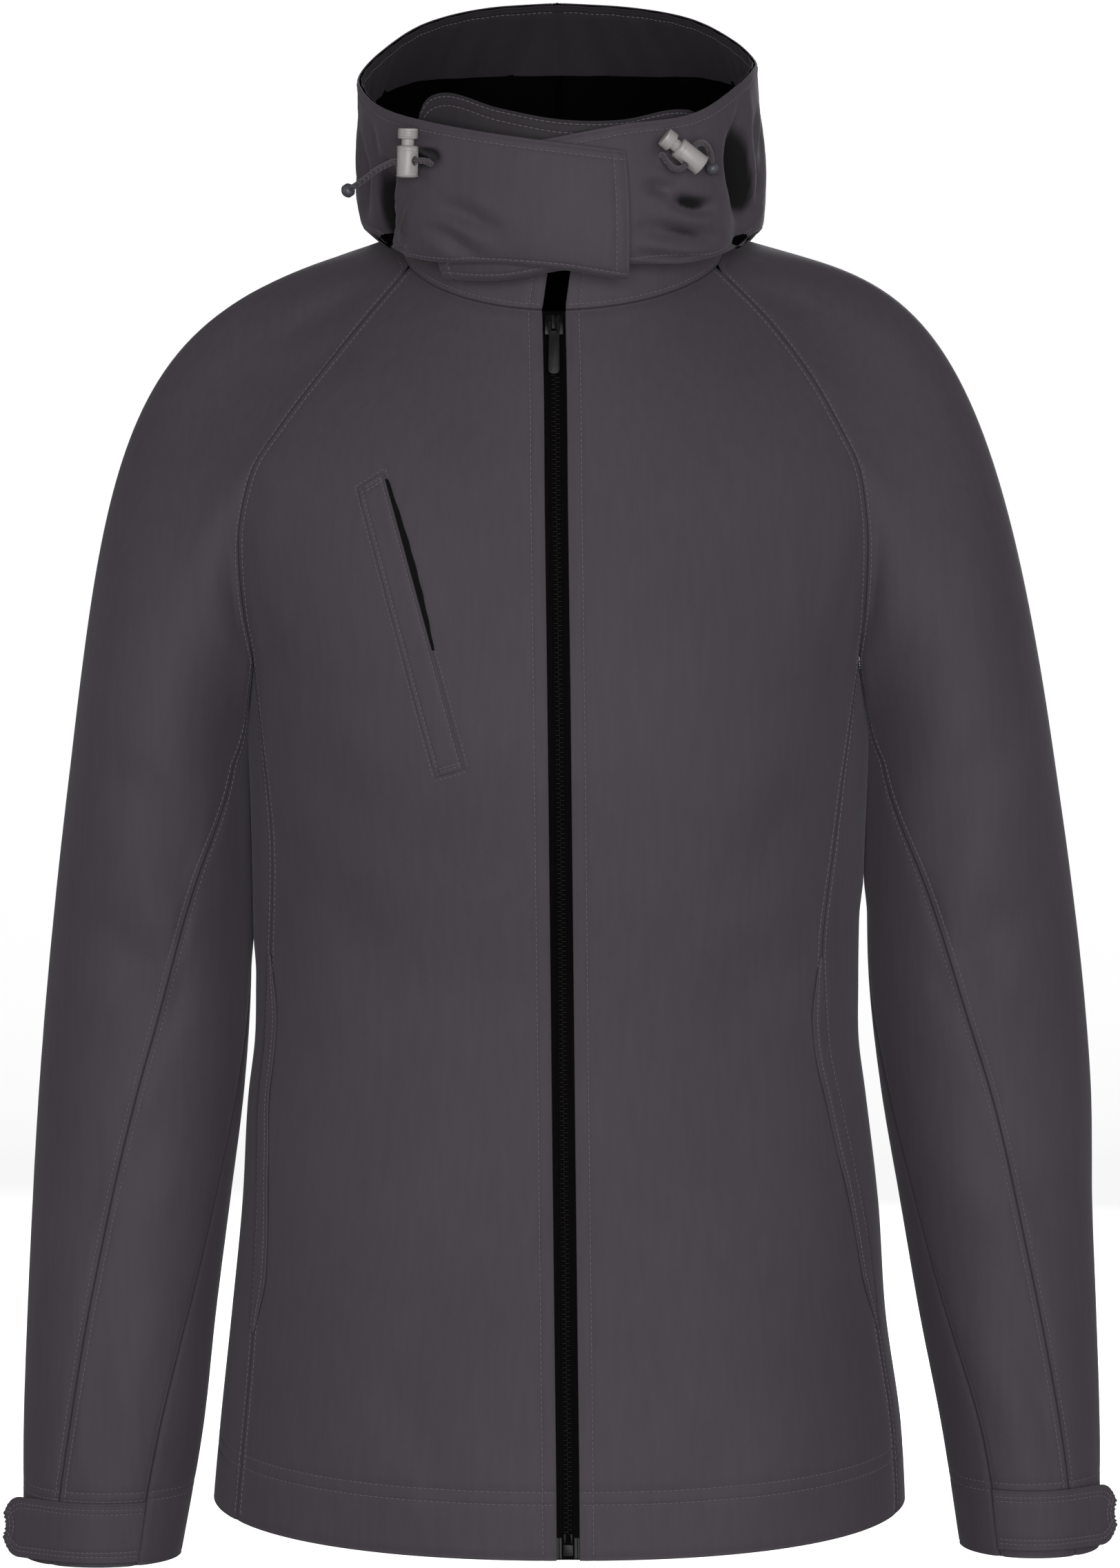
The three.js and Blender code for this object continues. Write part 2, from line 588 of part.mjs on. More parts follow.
/** A point of a front panel found by its place across and its height. */
function onFront(side, x, z) {
  let i = FRONT_COLUMNS / 2;
  let j = YOKE_ROWS;
  for (let step = 0; step < 16; step += 1) {
    const found = onPanel(side, i, j);
    const across = onPanel(side, i + 0.2, j).sub(found);
    const down = onPanel(side, i, j + 0.2).sub(found);
    i = THREE.MathUtils.clamp(i + (0.2 * (x - found.x)) / across.x, 0, FRONT_COLUMNS);
    j = THREE.MathUtils.clamp(j + (0.2 * (z - found.z)) / down.z, 0, ALL_ROWS);
  }
  return onPanel(side, i, j);
}

// Back panel, from one side-back seam to the other
const backGrid = gridOf(BACK_COLUMNS * 2, ALL_ROWS, (i, j) => {
  const u = i / BACK_COLUMNS - 1;
  return bodyPoint(u < 0 ? 'right' : 'left', j, Math.abs(u), true);
});
add('back', wall(backGrid, WALL, {}), CLOTH);

// Side panels under the arms
for (const side of BOTH) {
  const grid = gridOf(SIDE_COLUMNS, BODY_ROWS, (i, j) => {
    const share = i / SIDE_COLUMNS;
    const front = bodyRow(side, YOKE_ROWS + j, false);
    const back = bodyRow(side, YOKE_ROWS + j, true);
    if (i === 0) return front.end;
    if (i === SIDE_COLUMNS) return back.end;
    if (j === 0) return armhole(side, mix(FRONT_JOIN, -110, share));
    const z = mix(front.end.z, back.end.z, share);
    const point = ring(side, mix(front.swing, 180 - back.swing, share), z);
    const top = ring(side, mix(77, 106, share), -205);
    const fade = Math.max(0, 1 - j / 5) ** 2;
    return point.addScaledVector(armhole(side, mix(FRONT_JOIN, -110, share)).sub(top), fade);
  });
  add(`side_${side}`, wall(grid, WALL, { flip: side === 'left' }), CLOTH);
}

/** Turns round the armhole that the sleeve's columns start at, shared with the body pieces. */
function upperTurns() {
  const turns = [];
  for (let i = 0; i <= YOKE_ROWS; i += 1) turns.push(mix(FRONT_JOIN, 60, i / YOKE_ROWS));
  for (let i = 1; i <= SHOULDER_COLUMNS; i += 1) turns.push(mix(60, 120, i / SHOULDER_COLUMNS));
  for (let i = 1; i <= YOKE_ROWS; i += 1) turns.push(mix(120, BACK_JOIN, i / YOKE_ROWS));
  return turns;
}

/** Rows down a sleeve, closer together over the shoulder. */
const sleeveDown = (j) => (j / SLEEVE_ROWS) ** 1.5;

// Sleeves: an upper panel over the shoulder and an under panel
const starts = upperTurns();
for (const side of BOTH) {
  const upper = gridOf(starts.length - 1, SLEEVE_ROWS, (i, j) => {
    const down = sleeveDown(j);
    const even = i / (starts.length - 1);
    const first = (starts[i] - FRONT_JOIN) / (BACK_JOIN - FRONT_JOIN);
    const share = mix(first, even, down);
    const turn = mix(sleeveSeams.front(down), sleeveSeams.under(down) + 360, share);
    return sleevePoint(side, j === 0 ? starts[i] : turn, down);
  });
  add(`sleeve_upper_${side}`, wall(upper, WALL, { flip: side === 'left', mitre: SLEEVE_MITRE }), CLOTH);
  const under = gridOf(SIDE_COLUMNS, SLEEVE_ROWS, (i, j) => {
    const down = sleeveDown(j);
    const share = i / SIDE_COLUMNS;
    return sleevePoint(side, mix(sleeveSeams.under(down), sleeveSeams.front(down), share), down);
  });
  add(`sleeve_under_${side}`, wall(under, WALL, { flip: side === 'left', mitre: SLEEVE_MITRE }), CLOTH);
}

// Cuff tabs: round the front of the cuff, then straight out to a free end with rounded corners
for (const side of BOTH) {
  const z = TAB_MIDDLE_Z[side];
  const leaveAt = armPoint(side, TAB.leave, z);
  const before = armPoint(side, TAB.leave - 1, z);
  const straight = stepFrom(before, leaveAt);
  const straightLength = (TAB.reach - Math.abs(leaveAt.x)) / Math.abs(straight.x);
  const columns = 16;
  const bend = 9;
  const grid = gridOf(columns, 4, (i, j) => {
    const onArm = i <= bend;
    const out = onArm ? 0 : Math.sin((Math.PI / 2) * ((i - bend) / (columns - bend))) * straightLength;
    const turn = mix(TAB.start, TAB.leave, Math.min(1, i / bend));
    const left = straightLength - out;
    const short = Math.max(0, TAB.corner - left);
    const dip = TAB.corner - Math.sqrt(TAB.corner ** 2 - short ** 2);
    const half = TAB.height / 2 - dip;
    const level = z + half * (1 - j / 2);
    if (onArm) return armPoint(side, turn, level);
    const root = armPoint(side, TAB.leave, level);
    return root.addScaledVector(straight, out);
  });
  const options = { flip: side === 'left', gap: 0.02, mitre: 0.02, lift: TAB.wall + 0.4 };
  add(`cuff_tab_${side}`, wall(grid, TAB.wall, options), CLOTH);
}

// Collar stand, one half to each side of the zip
for (const side of BOTH) {
  const turns = [];
  const slot = (ZIP_HALF_SLOT / NECK_WIDTH[side]) * (180 / Math.PI);
  for (let i = 0; i <= FRONT_COLUMNS; i += 1) turns.push(mix(slot, FRONT_CORNER, i / FRONT_COLUMNS));
  for (let i = 1; i <= SHOULDER_COLUMNS; i += 1) {
    turns.push(mix(FRONT_CORNER, BACK_CORNER, i / SHOULDER_COLUMNS));
  }
  for (let i = 1; i <= BACK_COLUMNS; i += 1) turns.push(mix(BACK_CORNER, 180, i / BACK_COLUMNS));
  const grid = gridOf(turns.length - 1, 2, (i, j) => {
    const low = neck(side, turns[i]);
    const last = i <= FRONT_COLUMNS ? bodyPoint(side, 0, frontShare(side, i)) : low;
    const high = collarTop(side, turns[i]);
    return high.lerp(i <= FRONT_COLUMNS ? last : low, j / 2);
  });
  add(`collar_${side}`, wall(grid, WALL, { flip: side === 'left' }), CLOTH);
}

/** The front panel's own share at a column of its top row. */
function frontShare(side, i) {
  return mix(shareAt(side, 0, ZIP_HALF_SLOT), 1, i / FRONT_COLUMNS);
}

// Hood halves with their rolled lower folds, and the two crossing flaps at the front
const hoodGrids = {};
for (const side of BOTH) {
  const rows = ROLL_ROWS + HOOD_ROWS;
  const grid = gridOf(HOOD_COLUMNS, rows, (i, j) => {
    return hoodSection(side, mix(HOOD_JOIN, 180, i / HOOD_COLUMNS), rows - j);
  });
  hoodGrids[side] = grid;
  add(`hood_${side}`, wall(grid, WALL, { flip: side === 'left', mitre: 0.3 }), CLOTH);
  const end = side === 'right' ? OUTER_FLAP_END : UNDER_FLAP_END;
  const flap = gridOf(10, HOOD_ROWS, (i, j) => {
    return hoodPoint(side, mix(end, HOOD_JOIN, i / 10), 1 - j / HOOD_ROWS);
  });
  const name = side === 'right' ? 'hood_outer_flap' : 'hood_under_flap';
  add(name, wall(flap, WALL, { flip: side === 'left', mitre: 0.3 }), CLOTH);
}

// Guard inside the crossing flaps
const guardGrid = gridOf(GUARD_COLUMNS, GUARD_ROWS, (i, j) => {
  const turn = GUARD_END * Math.sin(Math.PI * (i / GUARD_COLUMNS - 0.5));
  return guardPoint(turn, 1 - j / GUARD_ROWS);
});
add('hood_guard', wall(guardGrid, WALL, { flip: true, gap: 0.02, mitre: 0.02 }), CLOTH);

// Facing inside the back of the hood rim
for (const side of BOTH) {
  const grid = gridOf(HOOD_COLUMNS - FACING_START, 2, (i, j) => {
    const column = hoodGrids[side][i + FACING_START];
    const row = Math.floor(FACING_ROWS[j]);
    return column[row].clone().lerp(column[row + 1], FACING_ROWS[j] - row);
  });
  const options = { flip: side === 'left', lift: -WALL - 0.35, gap: 0.6, mitre: 0.5 };
  add(`hood_facing_${side}`, wall(grid, FACING_WALL, options), CLOTH);
}

/** Front panel point at a distance from the zip line, carried straight over the slot. */
function zipPoint(side, row, distance) {
  const edge = onPanel(side, 0, row);
  const line = edge.x - turned(side, ZIP_HALF_SLOT);
  if (distance < ZIP_HALF_SLOT) return edge.setX(line + turned(side, distance));
  const width = Math.abs(onPanel(side, 1, row).x - edge.x);
  return onPanel(side, (distance - ZIP_HALF_SLOT) / width, row);
}

/** The middle of the zip at a row. */
const zipMiddle = (row) => zipPoint('left', row, 0);

// Front zip: two tapes behind the panel edges and the closed chain between them
const CHAIN_TOP_ROW = 0.35;
for (const side of BOTH) {
  const grid = gridOf(2, ALL_ROWS, (i, j) => {
    return zipPoint(side, j, mix(TAPE_INNER, TAPE_OUTER, i / 2));
  });
  const options = { flip: side === 'left', lift: -TAPE_DEPTH, gap: 0.1, mitre: 0.02 };
  add(`zip_tape_${side}`, wall(grid, TAPE_WALL, options), BLACK);
}
const chainGrid = gridOf(2, ALL_ROWS, (i, j) => {
  const row = j === 0 ? CHAIN_TOP_ROW : j === ALL_ROWS ? ALL_ROWS - 0.35 : j;
  const middle = zipMiddle(row);
  middle.x += (i - 1) * CHAIN_HALF;
  return middle;
});
const chainLift = -(TAPE_DEPTH + TAPE_WALL / 2) + CHAIN_THICK / 2;
const chainOptions = { flip: true, lift: chainLift, gap: 0.02, mitre: 0.02 };
add('zip_chain', wall(chainGrid, CHAIN_THICK, chainOptions), BLACK);

/** A geometry as a solid that can be joined and cut. */
function solid(geometry) {
  const bare = geometry.clone();
  bare.deleteAttribute('normal');
  bare.deleteAttribute('uv');
  const merged = mergeVertices(bare, 1e-4);
  const mesh = new wasm.Mesh({
    numProp: 3,
    vertProperties: new Float32Array(merged.attributes.position.array),
    triVerts: new Uint32Array(merged.index.array),
  });
  return new wasm.Manifold(mesh);
}

/** A solid back as a geometry. */
function geometryOf(body) {
  const mesh = body.getMesh();
  const geometry = new THREE.BufferGeometry();
  geometry.setAttribute('position', new THREE.Float32BufferAttribute(mesh.vertProperties, 3));
  geometry.setIndex(Array.from(mesh.triVerts));
  return geometry;
}

const boxAt = (x, y, z, w, d, h) => solid(new THREE.BoxGeometry(w, d, h).translate(x, y, z));

/** A cylinder along Z between two heights. */
const postAt = (radius, low, high, sides = 20) => solid(
  new THREE.CylinderGeometry(radius, radius, high - low, sides)
    .rotateX(Math.PI / 2).translate(0, 0, (low + high) / 2),
);

/** A cylinder along X, through the middle at one height. */
const crossHole = (radius, z, length = 30) => solid(
  new THREE.CylinderGeometry(radius, radius, length, 12).rotateZ(Math.PI / 2).translate(0, 0, z),
);

// Slider: two plates with side flanges round the chain, a wedge above it and a bail in front
const sliderGroup = new THREE.Group();
const sliderRow = CHAIN_TOP_ROW;
const sliderBase = zipMiddle(sliderRow);
const lower = zipMiddle(sliderRow + 0.6);
const slope = Math.atan2(sliderBase.y - lower.y, sliderBase.z - lower.z);
sliderGroup.position.set(sliderBase.x, sliderBase.y + TAPE_DEPTH + TAPE_WALL / 2, sliderBase.z);
sliderGroup.rotation.x = -slope;
jacket.add(sliderGroup);
const PLATE = { width: 9.2, height: 11, thick: 1.5, face: 1.6 };
const sliderBody = boxAt(0, -PLATE.face - PLATE.thick / 2, -1, PLATE.width, PLATE.thick, PLATE.height)
  .add(boxAt(0, PLATE.face + PLATE.thick / 2, -1, PLATE.width, PLATE.thick, PLATE.height))
  .add(boxAt(-PLATE.width / 2 + 0.4, -1.35, -1, 0.8, 0.9, PLATE.height))
  .add(boxAt(PLATE.width / 2 - 0.4, -1.35, -1, 0.8, 0.9, PLATE.height))
  .add(boxAt(0, 0, 2.6, 2.2, 2 * PLATE.face + 1, 3.4))
  .add(boxAt(0, -4.9, -1, 2.2, 3.8, 7.4).subtract(boxAt(0, -4.6, -1.2, 4, 2.0, 4.6)));
add('zip_slider', geometryOf(sliderBody), ZIP_METAL, sliderGroup);

// Pull tab: a flat loop whose top bar lies in the bail, and a longer grip below it
const PULL = { bar_y: -4.6, bar_z: 0, length: 29, width: 6.4, thick: 1.2 };
const pullOutline = new THREE.Shape();
const half = PULL.width / 2;
pullOutline.moveTo(-half + 1, 0.7);
pullOutline.lineTo(half - 1, 0.7);
pullOutline.quadraticCurveTo(half, 0.7, half, -0.6);
pullOutline.lineTo(half - 0.5, -8);
pullOutline.lineTo(half - 0.2, -PULL.length + 2.5);
pullOutline.quadraticCurveTo(half - 0.2, -PULL.length, 0, -PULL.length);
pullOutline.quadraticCurveTo(-half + 0.2, -PULL.length, -half + 0.2, -PULL.length + 2.5);
pullOutline.lineTo(-half + 0.5, -8);
pullOutline.lineTo(-half, -0.6);
pullOutline.quadraticCurveTo(-half, 0.7, -half + 1, 0.7);
const pullWindow = new THREE.Path();
pullWindow.moveTo(-1.6, -0.7);
pullWindow.lineTo(-1.6, -6.4);
pullWindow.lineTo(1.6, -6.4);
pullWindow.lineTo(1.6, -0.7);
pullWindow.closePath();
pullOutline.holes.push(pullWindow);
const pullPlate = new THREE.ExtrudeGeometry(pullOutline, {
  depth: PULL.thick,
  bevelEnabled: false,
  curveSegments: 5,
});
pullPlate.rotateX(Math.PI / 2);
pullPlate.translate(0, PULL.thick / 2 + PULL.bar_y, PULL.bar_z);
add('zip_pull', pullPlate, ZIP_METAL, sliderGroup);

// Bottom box of the zip, below the end of the chain
const boxRow = ALL_ROWS - 0.13;
const boxBase = zipMiddle(boxRow);
const bottomBox = boxAt(0, 0, 0, 2 * TAPE_INNER - 0.7, 3.4, 6.2);
const boxMesh = add('zip_box', geometryOf(bottomBox), ZIP_METAL);
boxMesh.position.set(boxBase.x, boxBase.y + TAPE_DEPTH + TAPE_WALL / 2, boxBase.z);

// Chest pocket on the right front: a raised welt and the black slit beside it
const [weltA, weltB, weltC, weltD] = WELT_CORNERS;
const weltSpot = (across, down) => [
  mix(mix(weltA[0], weltB[0], across), mix(weltD[0], weltC[0], across), down),
  mix(mix(weltA[1], weltB[1], across), mix(weltD[1], weltC[1], across), down),
];
const weltGrid = gridOf(3, 14, (i, j) => {
  const [x, z] = weltSpot(1 - i / 3, j / 14);
  return onFront('right', x, z);
});
const weltOptions = { lift: WELT_WALL + 0.45, gap: 0.02, mitre: 0.02 };
add('chest_pocket_welt', wall(weltGrid, WELT_WALL, weltOptions), CLOTH);
const slitGrid = gridOf(1, 12, (i, j) => {
  const down = mix(0.02, 0.6, j / 12);
  const [x, z] = weltSpot(1, down);
  const width = SLIT_WIDTH * Math.sin(Math.PI * mix(0.12, 0.9, j / 12));
  return onFront('right', x + 0.5 + (1 - i) * width, z + 0.2);
});
add('chest_pocket_slit', wall(slitGrid, 0.5, { lift: 0.9, gap: 0.02, mitre: 0.02 }), BLACK);

// Side pockets: a stitched welt along the side-front seam
const COLUMN_WIDTH = 19;
for (const side of BOTH) {
  const top = armhole(side, FRONT_JOIN).z;
  const grid = gridOf(2, 12, (i, j) => {
    const z = mix(SIDE_POCKET.top, SIDE_POCKET.bottom, j / 12);
    const row = YOKE_ROWS + BODY_ROWS * ((z - top) / (hemAt(70) - top));
    const width = SIDE_POCKET.width * easeBetween(-0.6, 2, Math.min(j, 12 - j));
    return onPanel(side, FRONT_COLUMNS - (0.8 + width * (1 - i / 2)) / COLUMN_WIDTH, row);
  });
  const options = { flip: side === 'left', lift: SIDE_POCKET.wall + 0.5, gap: 0.02, mitre: 0.02 };
  add(`side_pocket_welt_${side}`, wall(grid, SIDE_POCKET.wall, options), CLOTH);
}

// Drawcords: from an eyelet in the hood through a cord lock to an end bead
const CORD_ROUTES = {
  right: [
    [-66.2, -96.2, 61.6], [-69.0, -99.6, 63.0], [-73.2, -99.0, 63.4], [-78.6, -95.0, 63.4],
    [-84.0, -91.0, 63.4], [-90.0, -86.6, 61.6], [-96.4, -81.0, 58.2], [-102.4, -75.0, 54.0],
    [-108.4, -68.4, 50.4],
  ],
  left: [
    [52.2, -96.7, 66.4], [53.0, -99.6, 66.0], [55.2, -102.6, 62.6], [59.0, -103.6, 59.2],
    [63.0, -101.8, 59.6], [66.6, -99.6, 65.6], [70.2, -97.4, 71.6], [74.2, -93.8, 72.6],
    [77.2, -89.8, 68.8], [78.4, -86.4, 62.6],
  ],
};
const LOCK_SPOTS = {
  right: { at: [-78.6, -95.0, 63.4], axis: [0.02, -0.05, 1], along: [-0.8, 0.593, 0] },
  left: { at: [66.6, -99.6, 65.6], axis: [-0.78, -0.18, 0.6], along: [3.6, 2.2, 6] },
};

/** A thin cord's section as an octagon. */
function cordSection() {
  const shape = new THREE.Shape();
  for (let i = 0; i < CORD_SIDES; i += 1) {
    const a = (2 * Math.PI * i) / CORD_SIDES;
    const move = i === 0 ? 'moveTo' : 'lineTo';
    shape[move](CORD_RADIUS * Math.cos(a), CORD_RADIUS * Math.sin(a));
  }
  shape.closePath();
  return shape;
}

/** Turns a group so that its Z lies on an axis and its X near a second direction. */
function aim(group, axis, near) {
  const z = vector(...axis).normalize();
  const y = z.clone().cross(vector(...near)).normalize();
  const x = y.clone().cross(z);
  group.quaternion.setFromRotationMatrix(new THREE.Matrix4().makeBasis(x, y, z));
}

const barrelProfile = [
  [0, 0], [LOCK.radius - 1, 0], [LOCK.radius, 1.2], [LOCK.radius, LOCK.height - 0.8],
  [LOCK.radius - 0.8, LOCK.height], [LOCK.bore, LOCK.height], [LOCK.bore, LOCK.floor], [0, LOCK.floor],
].map(([r, z]) => new THREE.Vector2(r, z));
const beadProfile = [
  [0, 0], [2.4, 0], [3.6, 1.6], [3.6, 4.0], [2.4, 5.6], [0, 5.6],
].map(([r, z]) => new THREE.Vector2(r, z));

for (const side of BOTH) {
  const points = CORD_ROUTES[side].map((p) => vector(...p));
  const path = new THREE.CatmullRomCurve3(points, false, 'centripetal');
  const options = { extrudePath: path, steps: 18, bevelEnabled: false };
  const cord = new THREE.ExtrudeGeometry(cordSection(), options);
  add(`drawcord_${side}`, cord, CLOTH);

  const spot = LOCK_SPOTS[side];
  const group = new THREE.Group();
  aim(group, spot.axis, spot.along);
  const down = vector(...spot.axis).normalize().multiplyScalar(-LOCK.cord_z);
  group.position.set(...spot.at).add(down);
  jacket.add(group);
  const barrel = solid(new THREE.LatheGeometry(barrelProfile, 20).rotateX(Math.PI / 2))
    .subtract(crossHole(LOCK.hole + 0.5, LOCK.cord_z));
  add(`cord_lock_${side}`, geometryOf(barrel), PLASTIC, group);
  const slotWidth = 2 * LOCK.hole + 0.4;
  const slotMiddle = LOCK.cord_z + PLUNGER.travel / 2;
  const slot = boxAt(0, 0, slotMiddle, 20, slotWidth, PLUNGER.travel + slotWidth);
  const plunger = postAt(PLUNGER.radius, PLUNGER.bottom, PLUNGER.head_z + 0.5)
    .subtract(slot)
    .add(postAt(PLUNGER.head, PLUNGER.head_z, PLUNGER.top));
  add(`cord_plunger_${side}`, geometryOf(plunger), PLASTIC, group);

  const end = path.getPoint(1);
  const run = path.getTangent(1);
  const beadShape = new THREE.LatheGeometry(beadProfile, 16).rotateX(Math.PI / 2);
  const bead = add(`cord_bead_${side}`, beadShape, PLASTIC);
  bead.position.copy(end).addScaledVector(run, 0.3);
  bead.quaternion.setFromUnitVectors(vector(0, 0, 1), run);
}

export default jacket;
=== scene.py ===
"""Looks of a hooded softshell jacket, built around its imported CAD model. Tables are in millimetres."""
import math

import bpy
import numpy as np
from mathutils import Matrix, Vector


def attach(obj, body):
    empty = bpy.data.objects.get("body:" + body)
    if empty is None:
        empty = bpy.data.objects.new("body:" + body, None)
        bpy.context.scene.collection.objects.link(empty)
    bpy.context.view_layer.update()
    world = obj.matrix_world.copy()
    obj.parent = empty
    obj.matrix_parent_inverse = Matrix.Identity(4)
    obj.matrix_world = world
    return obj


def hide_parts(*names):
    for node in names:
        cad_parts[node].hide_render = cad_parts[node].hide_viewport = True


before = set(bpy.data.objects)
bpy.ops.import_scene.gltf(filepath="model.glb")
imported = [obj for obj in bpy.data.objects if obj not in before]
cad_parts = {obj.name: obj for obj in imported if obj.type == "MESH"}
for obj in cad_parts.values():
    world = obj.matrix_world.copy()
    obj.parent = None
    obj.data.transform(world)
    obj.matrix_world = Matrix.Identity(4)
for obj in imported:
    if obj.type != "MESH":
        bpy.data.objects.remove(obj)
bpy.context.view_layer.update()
MM = 0.001


# Camera: a long lens 3 m away and a little above the chest, looking down on the middle of the jacket,
# as for a catalogue picture.

VIEW = {"distance": 3.0, "rise": math.radians(4), "height": 0.8414, "target_z": -0.2653}
lens = bpy.data.cameras.new("camera")
lens.sensor_width = 36
lens.lens = 36 * VIEW["distance"] / VIEW["height"]
lens.clip_start = 0.05
camera = bpy.data.objects.new("camera", lens)
bpy.context.collection.objects.link(camera)
camera.location = (
    0,
    -VIEW["distance"] * math.cos(VIEW["rise"]),
    VIEW["target_z"] + VIEW["distance"] * math.sin(VIEW["rise"]),
)
camera.rotation_euler = (math.pi / 2 - VIEW["rise"], 0, 0)
bpy.context.scene.camera = camera


# Drawcords: braided elastic cord, 3 mm thick, drawn out of an eyelet in the hood and through a
# spring lock to a bead. The right one sticks out to the side, the left one makes a small loop.

CORD_RADIUS = 1.6
CORD_STEPS, CORD_SIDES = 120, 14
CORD_ROUTES = {
    "right": [
        (-66.2, -96.2, 61.6), (-69.0, -99.6, 63.0), (-73.2, -99.0, 63.4), (-78.6, -95.0, 63.4),
        (-84.0, -91.0, 63.4), (-90.0, -86.6, 61.6), (-96.4, -81.0, 58.2), (-102.4, -75.0, 54.0),
        (-108.4, -68.4, 50.4),
    ],
    "left": [
        (52.2, -96.7, 66.4), (53.0, -99.6, 66.0), (55.2, -102.6, 62.6), (59.0, -103.6, 59.2),
        (63.0, -101.8, 59.6), (66.6, -99.6, 65.6), (70.2, -97.4, 71.6), (74.2, -93.8, 72.6),
        (77.2, -89.8, 68.8), (78.4, -86.4, 62.6),
    ],
}


class Signal:
    """The value of one node socket, which is added to and multiplied like a number, on either side."""

    def __init__(self, look, socket):
        self.look = look
        self.socket = socket

    def math(self, operation, *others):
        return self.look.node("ShaderNodeMath", [self, *others], operation=operation)

    def __add__(self, other):
        return self.math("ADD", other)

    def __mul__(self, other):
        return self.math("MULTIPLY", other)

    __radd__ = __add__
    __rmul__ = __mul__

    def smooth(self, low, high):
        """0 below low, 1 above high, with a soft step between."""
        return self.look.node("ShaderNodeMapRange", [self, low, high], interpolation_type="SMOOTHSTEP")


class Look:
    """A material on the standard surface shader. Constants are set on the shader's own sockets."""

    def __init__(self, name, slot, **constants):
        self.material = bpy.data.materials.new(name)
        self.material.use_nodes = True
        self.tree = self.material.node_tree
        self.shader = self.tree.nodes["Principled BSDF"]
        self.slot = slot
        for key, value in constants.items():
            self.shader.inputs[key.replace("_", " ")].default_value = value

    def node(self, kind, inputs=(), output=0, **settings):
        """One node of any kind, its inputs given in order as signals or constants."""
        made = self.tree.nodes.new(kind)
        for key, value in settings.items():
            setattr(made, key, value)
        named = inputs.items() if isinstance(inputs, dict) else enumerate(inputs)
        for key, value in named:
            if isinstance(value, Signal):
                self.tree.links.new(value.socket, made.inputs[key])
            else:
                made.inputs[key].default_value = value
        return Signal(self, made.outputs[output])

    def colour(self, factor, first, second):
        """Colour between two others by a factor from 0 to 1."""
        made = self.tree.nodes.new("ShaderNodeMix")
        made.data_type = "RGBA"
        self.tree.links.new(factor.socket, made.inputs[0])
        for socket, value in ((made.inputs[6], first), (made.inputs[7], second)):
            if isinstance(value, Signal):
                self.tree.links.new(value.socket, socket)
            else:
                socket.default_value = (*value, 1)
        return Signal(self, made.outputs[2])

    def place(self):
        """Position in the object's own frame, in metres."""
        return self.node("ShaderNodeTexCoord", output="Object")

    def noise(self, scale, detail=2.0, roughness=0.5, stretch=(1, 1, 1)):
        """Smooth noise from 0 to 1 at that many waves to the metre."""
        spot = self.node("ShaderNodeVectorMath", [self.place(), stretch], operation="MULTIPLY")
        settings = {"Vector": spot, "Scale": scale, "Detail": detail, "Roughness": roughness}
        return self.node("ShaderNodeTexNoise", settings)

    def feed(self, name, signal):
        """Links a signal to one of the shader's own sockets."""
        self.tree.links.new(signal.socket, self.shader.inputs[name])

    def paint(self, factor, first, second):
        """Base colour between two others by a factor from 0 to 1."""
        self.feed("Base Color", self.colour(factor, first, second))

    def relief(self, height, distance, strength=1.0):
        """Bump from a height signal, in metres at height 1."""
        settings = {"Strength": strength, "Distance": distance, "Height": height}
        self.feed("Normal", self.node("ShaderNodeBump", settings))


def keep(name, vertices, faces, look, body="jacket", replaces=()):
    """A mesh object from points in millimetres, riding on its CAD body."""
    mesh = bpy.data.meshes.new(name)
    mesh.from_pydata(np.asarray(vertices) * MM, [], faces)
    mesh.polygons.foreach_set("use_smooth", np.ones(len(mesh.polygons), bool))
    mesh.materials.append(look.material)
    piece = bpy.data.objects.new(name, mesh)
    bpy.context.collection.objects.link(piece)
    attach(piece, body)
    if replaces:
        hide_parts(*replaces)
    return piece


def unit(vectors):
    """Vectors of the same direction and length 1."""
    return vectors / np.maximum(np.linalg.norm(vectors, axis=-1, keepdims=True), 1e-9)


SPAN_STEPS = 24


def smooth_path(points, count):
    """Centripetal spline through the points, with knots apart by the square root of each span, as count
    even steps, and its length."""
    p = np.array(points, float)
    p = np.vstack([2 * p[0] - p[1], p, 2 * p[-1] - p[-2]])
    knots = np.concatenate([[0], np.cumsum(np.linalg.norm(np.diff(p, axis=0), axis=1) ** 0.5)])
    fine = []
    for i in range(1, len(p) - 2):
        t = np.linspace(knots[i], knots[i + 1], SPAN_STEPS, endpoint=False)[:, None]
        a = [
            ((knots[i + k] - t) * p[i + k - 1] + (t - knots[i + k - 1]) * p[i + k])
            / (knots[i + k] - knots[i + k - 1])
            for k in range(3)
        ]
        b = [
            ((knots[i + 1 + k] - t) * a[k] + (t - knots[i - 1 + k]) * a[k + 1])
            / (knots[i + 1 + k] - knots[i - 1 + k])
            for k in range(2)
        ]
        fine.append(((knots[i + 1] - t) * b[0] + (t - knots[i]) * b[1]) / (knots[i + 1] - knots[i]))
    fine = np.vstack([*fine, p[-2]])
    run = np.concatenate([[0], np.cumsum(np.linalg.norm(np.diff(fine, axis=0), axis=1))])
    even = np.linspace(0, run[-1], count)
    return np.stack([np.interp(even, run, fine[:, k]) for k in range(3)], axis=1), run[-1]


# A direction that no cord or chain runs along
STEEP = (0.2, 0.3, 1.0)


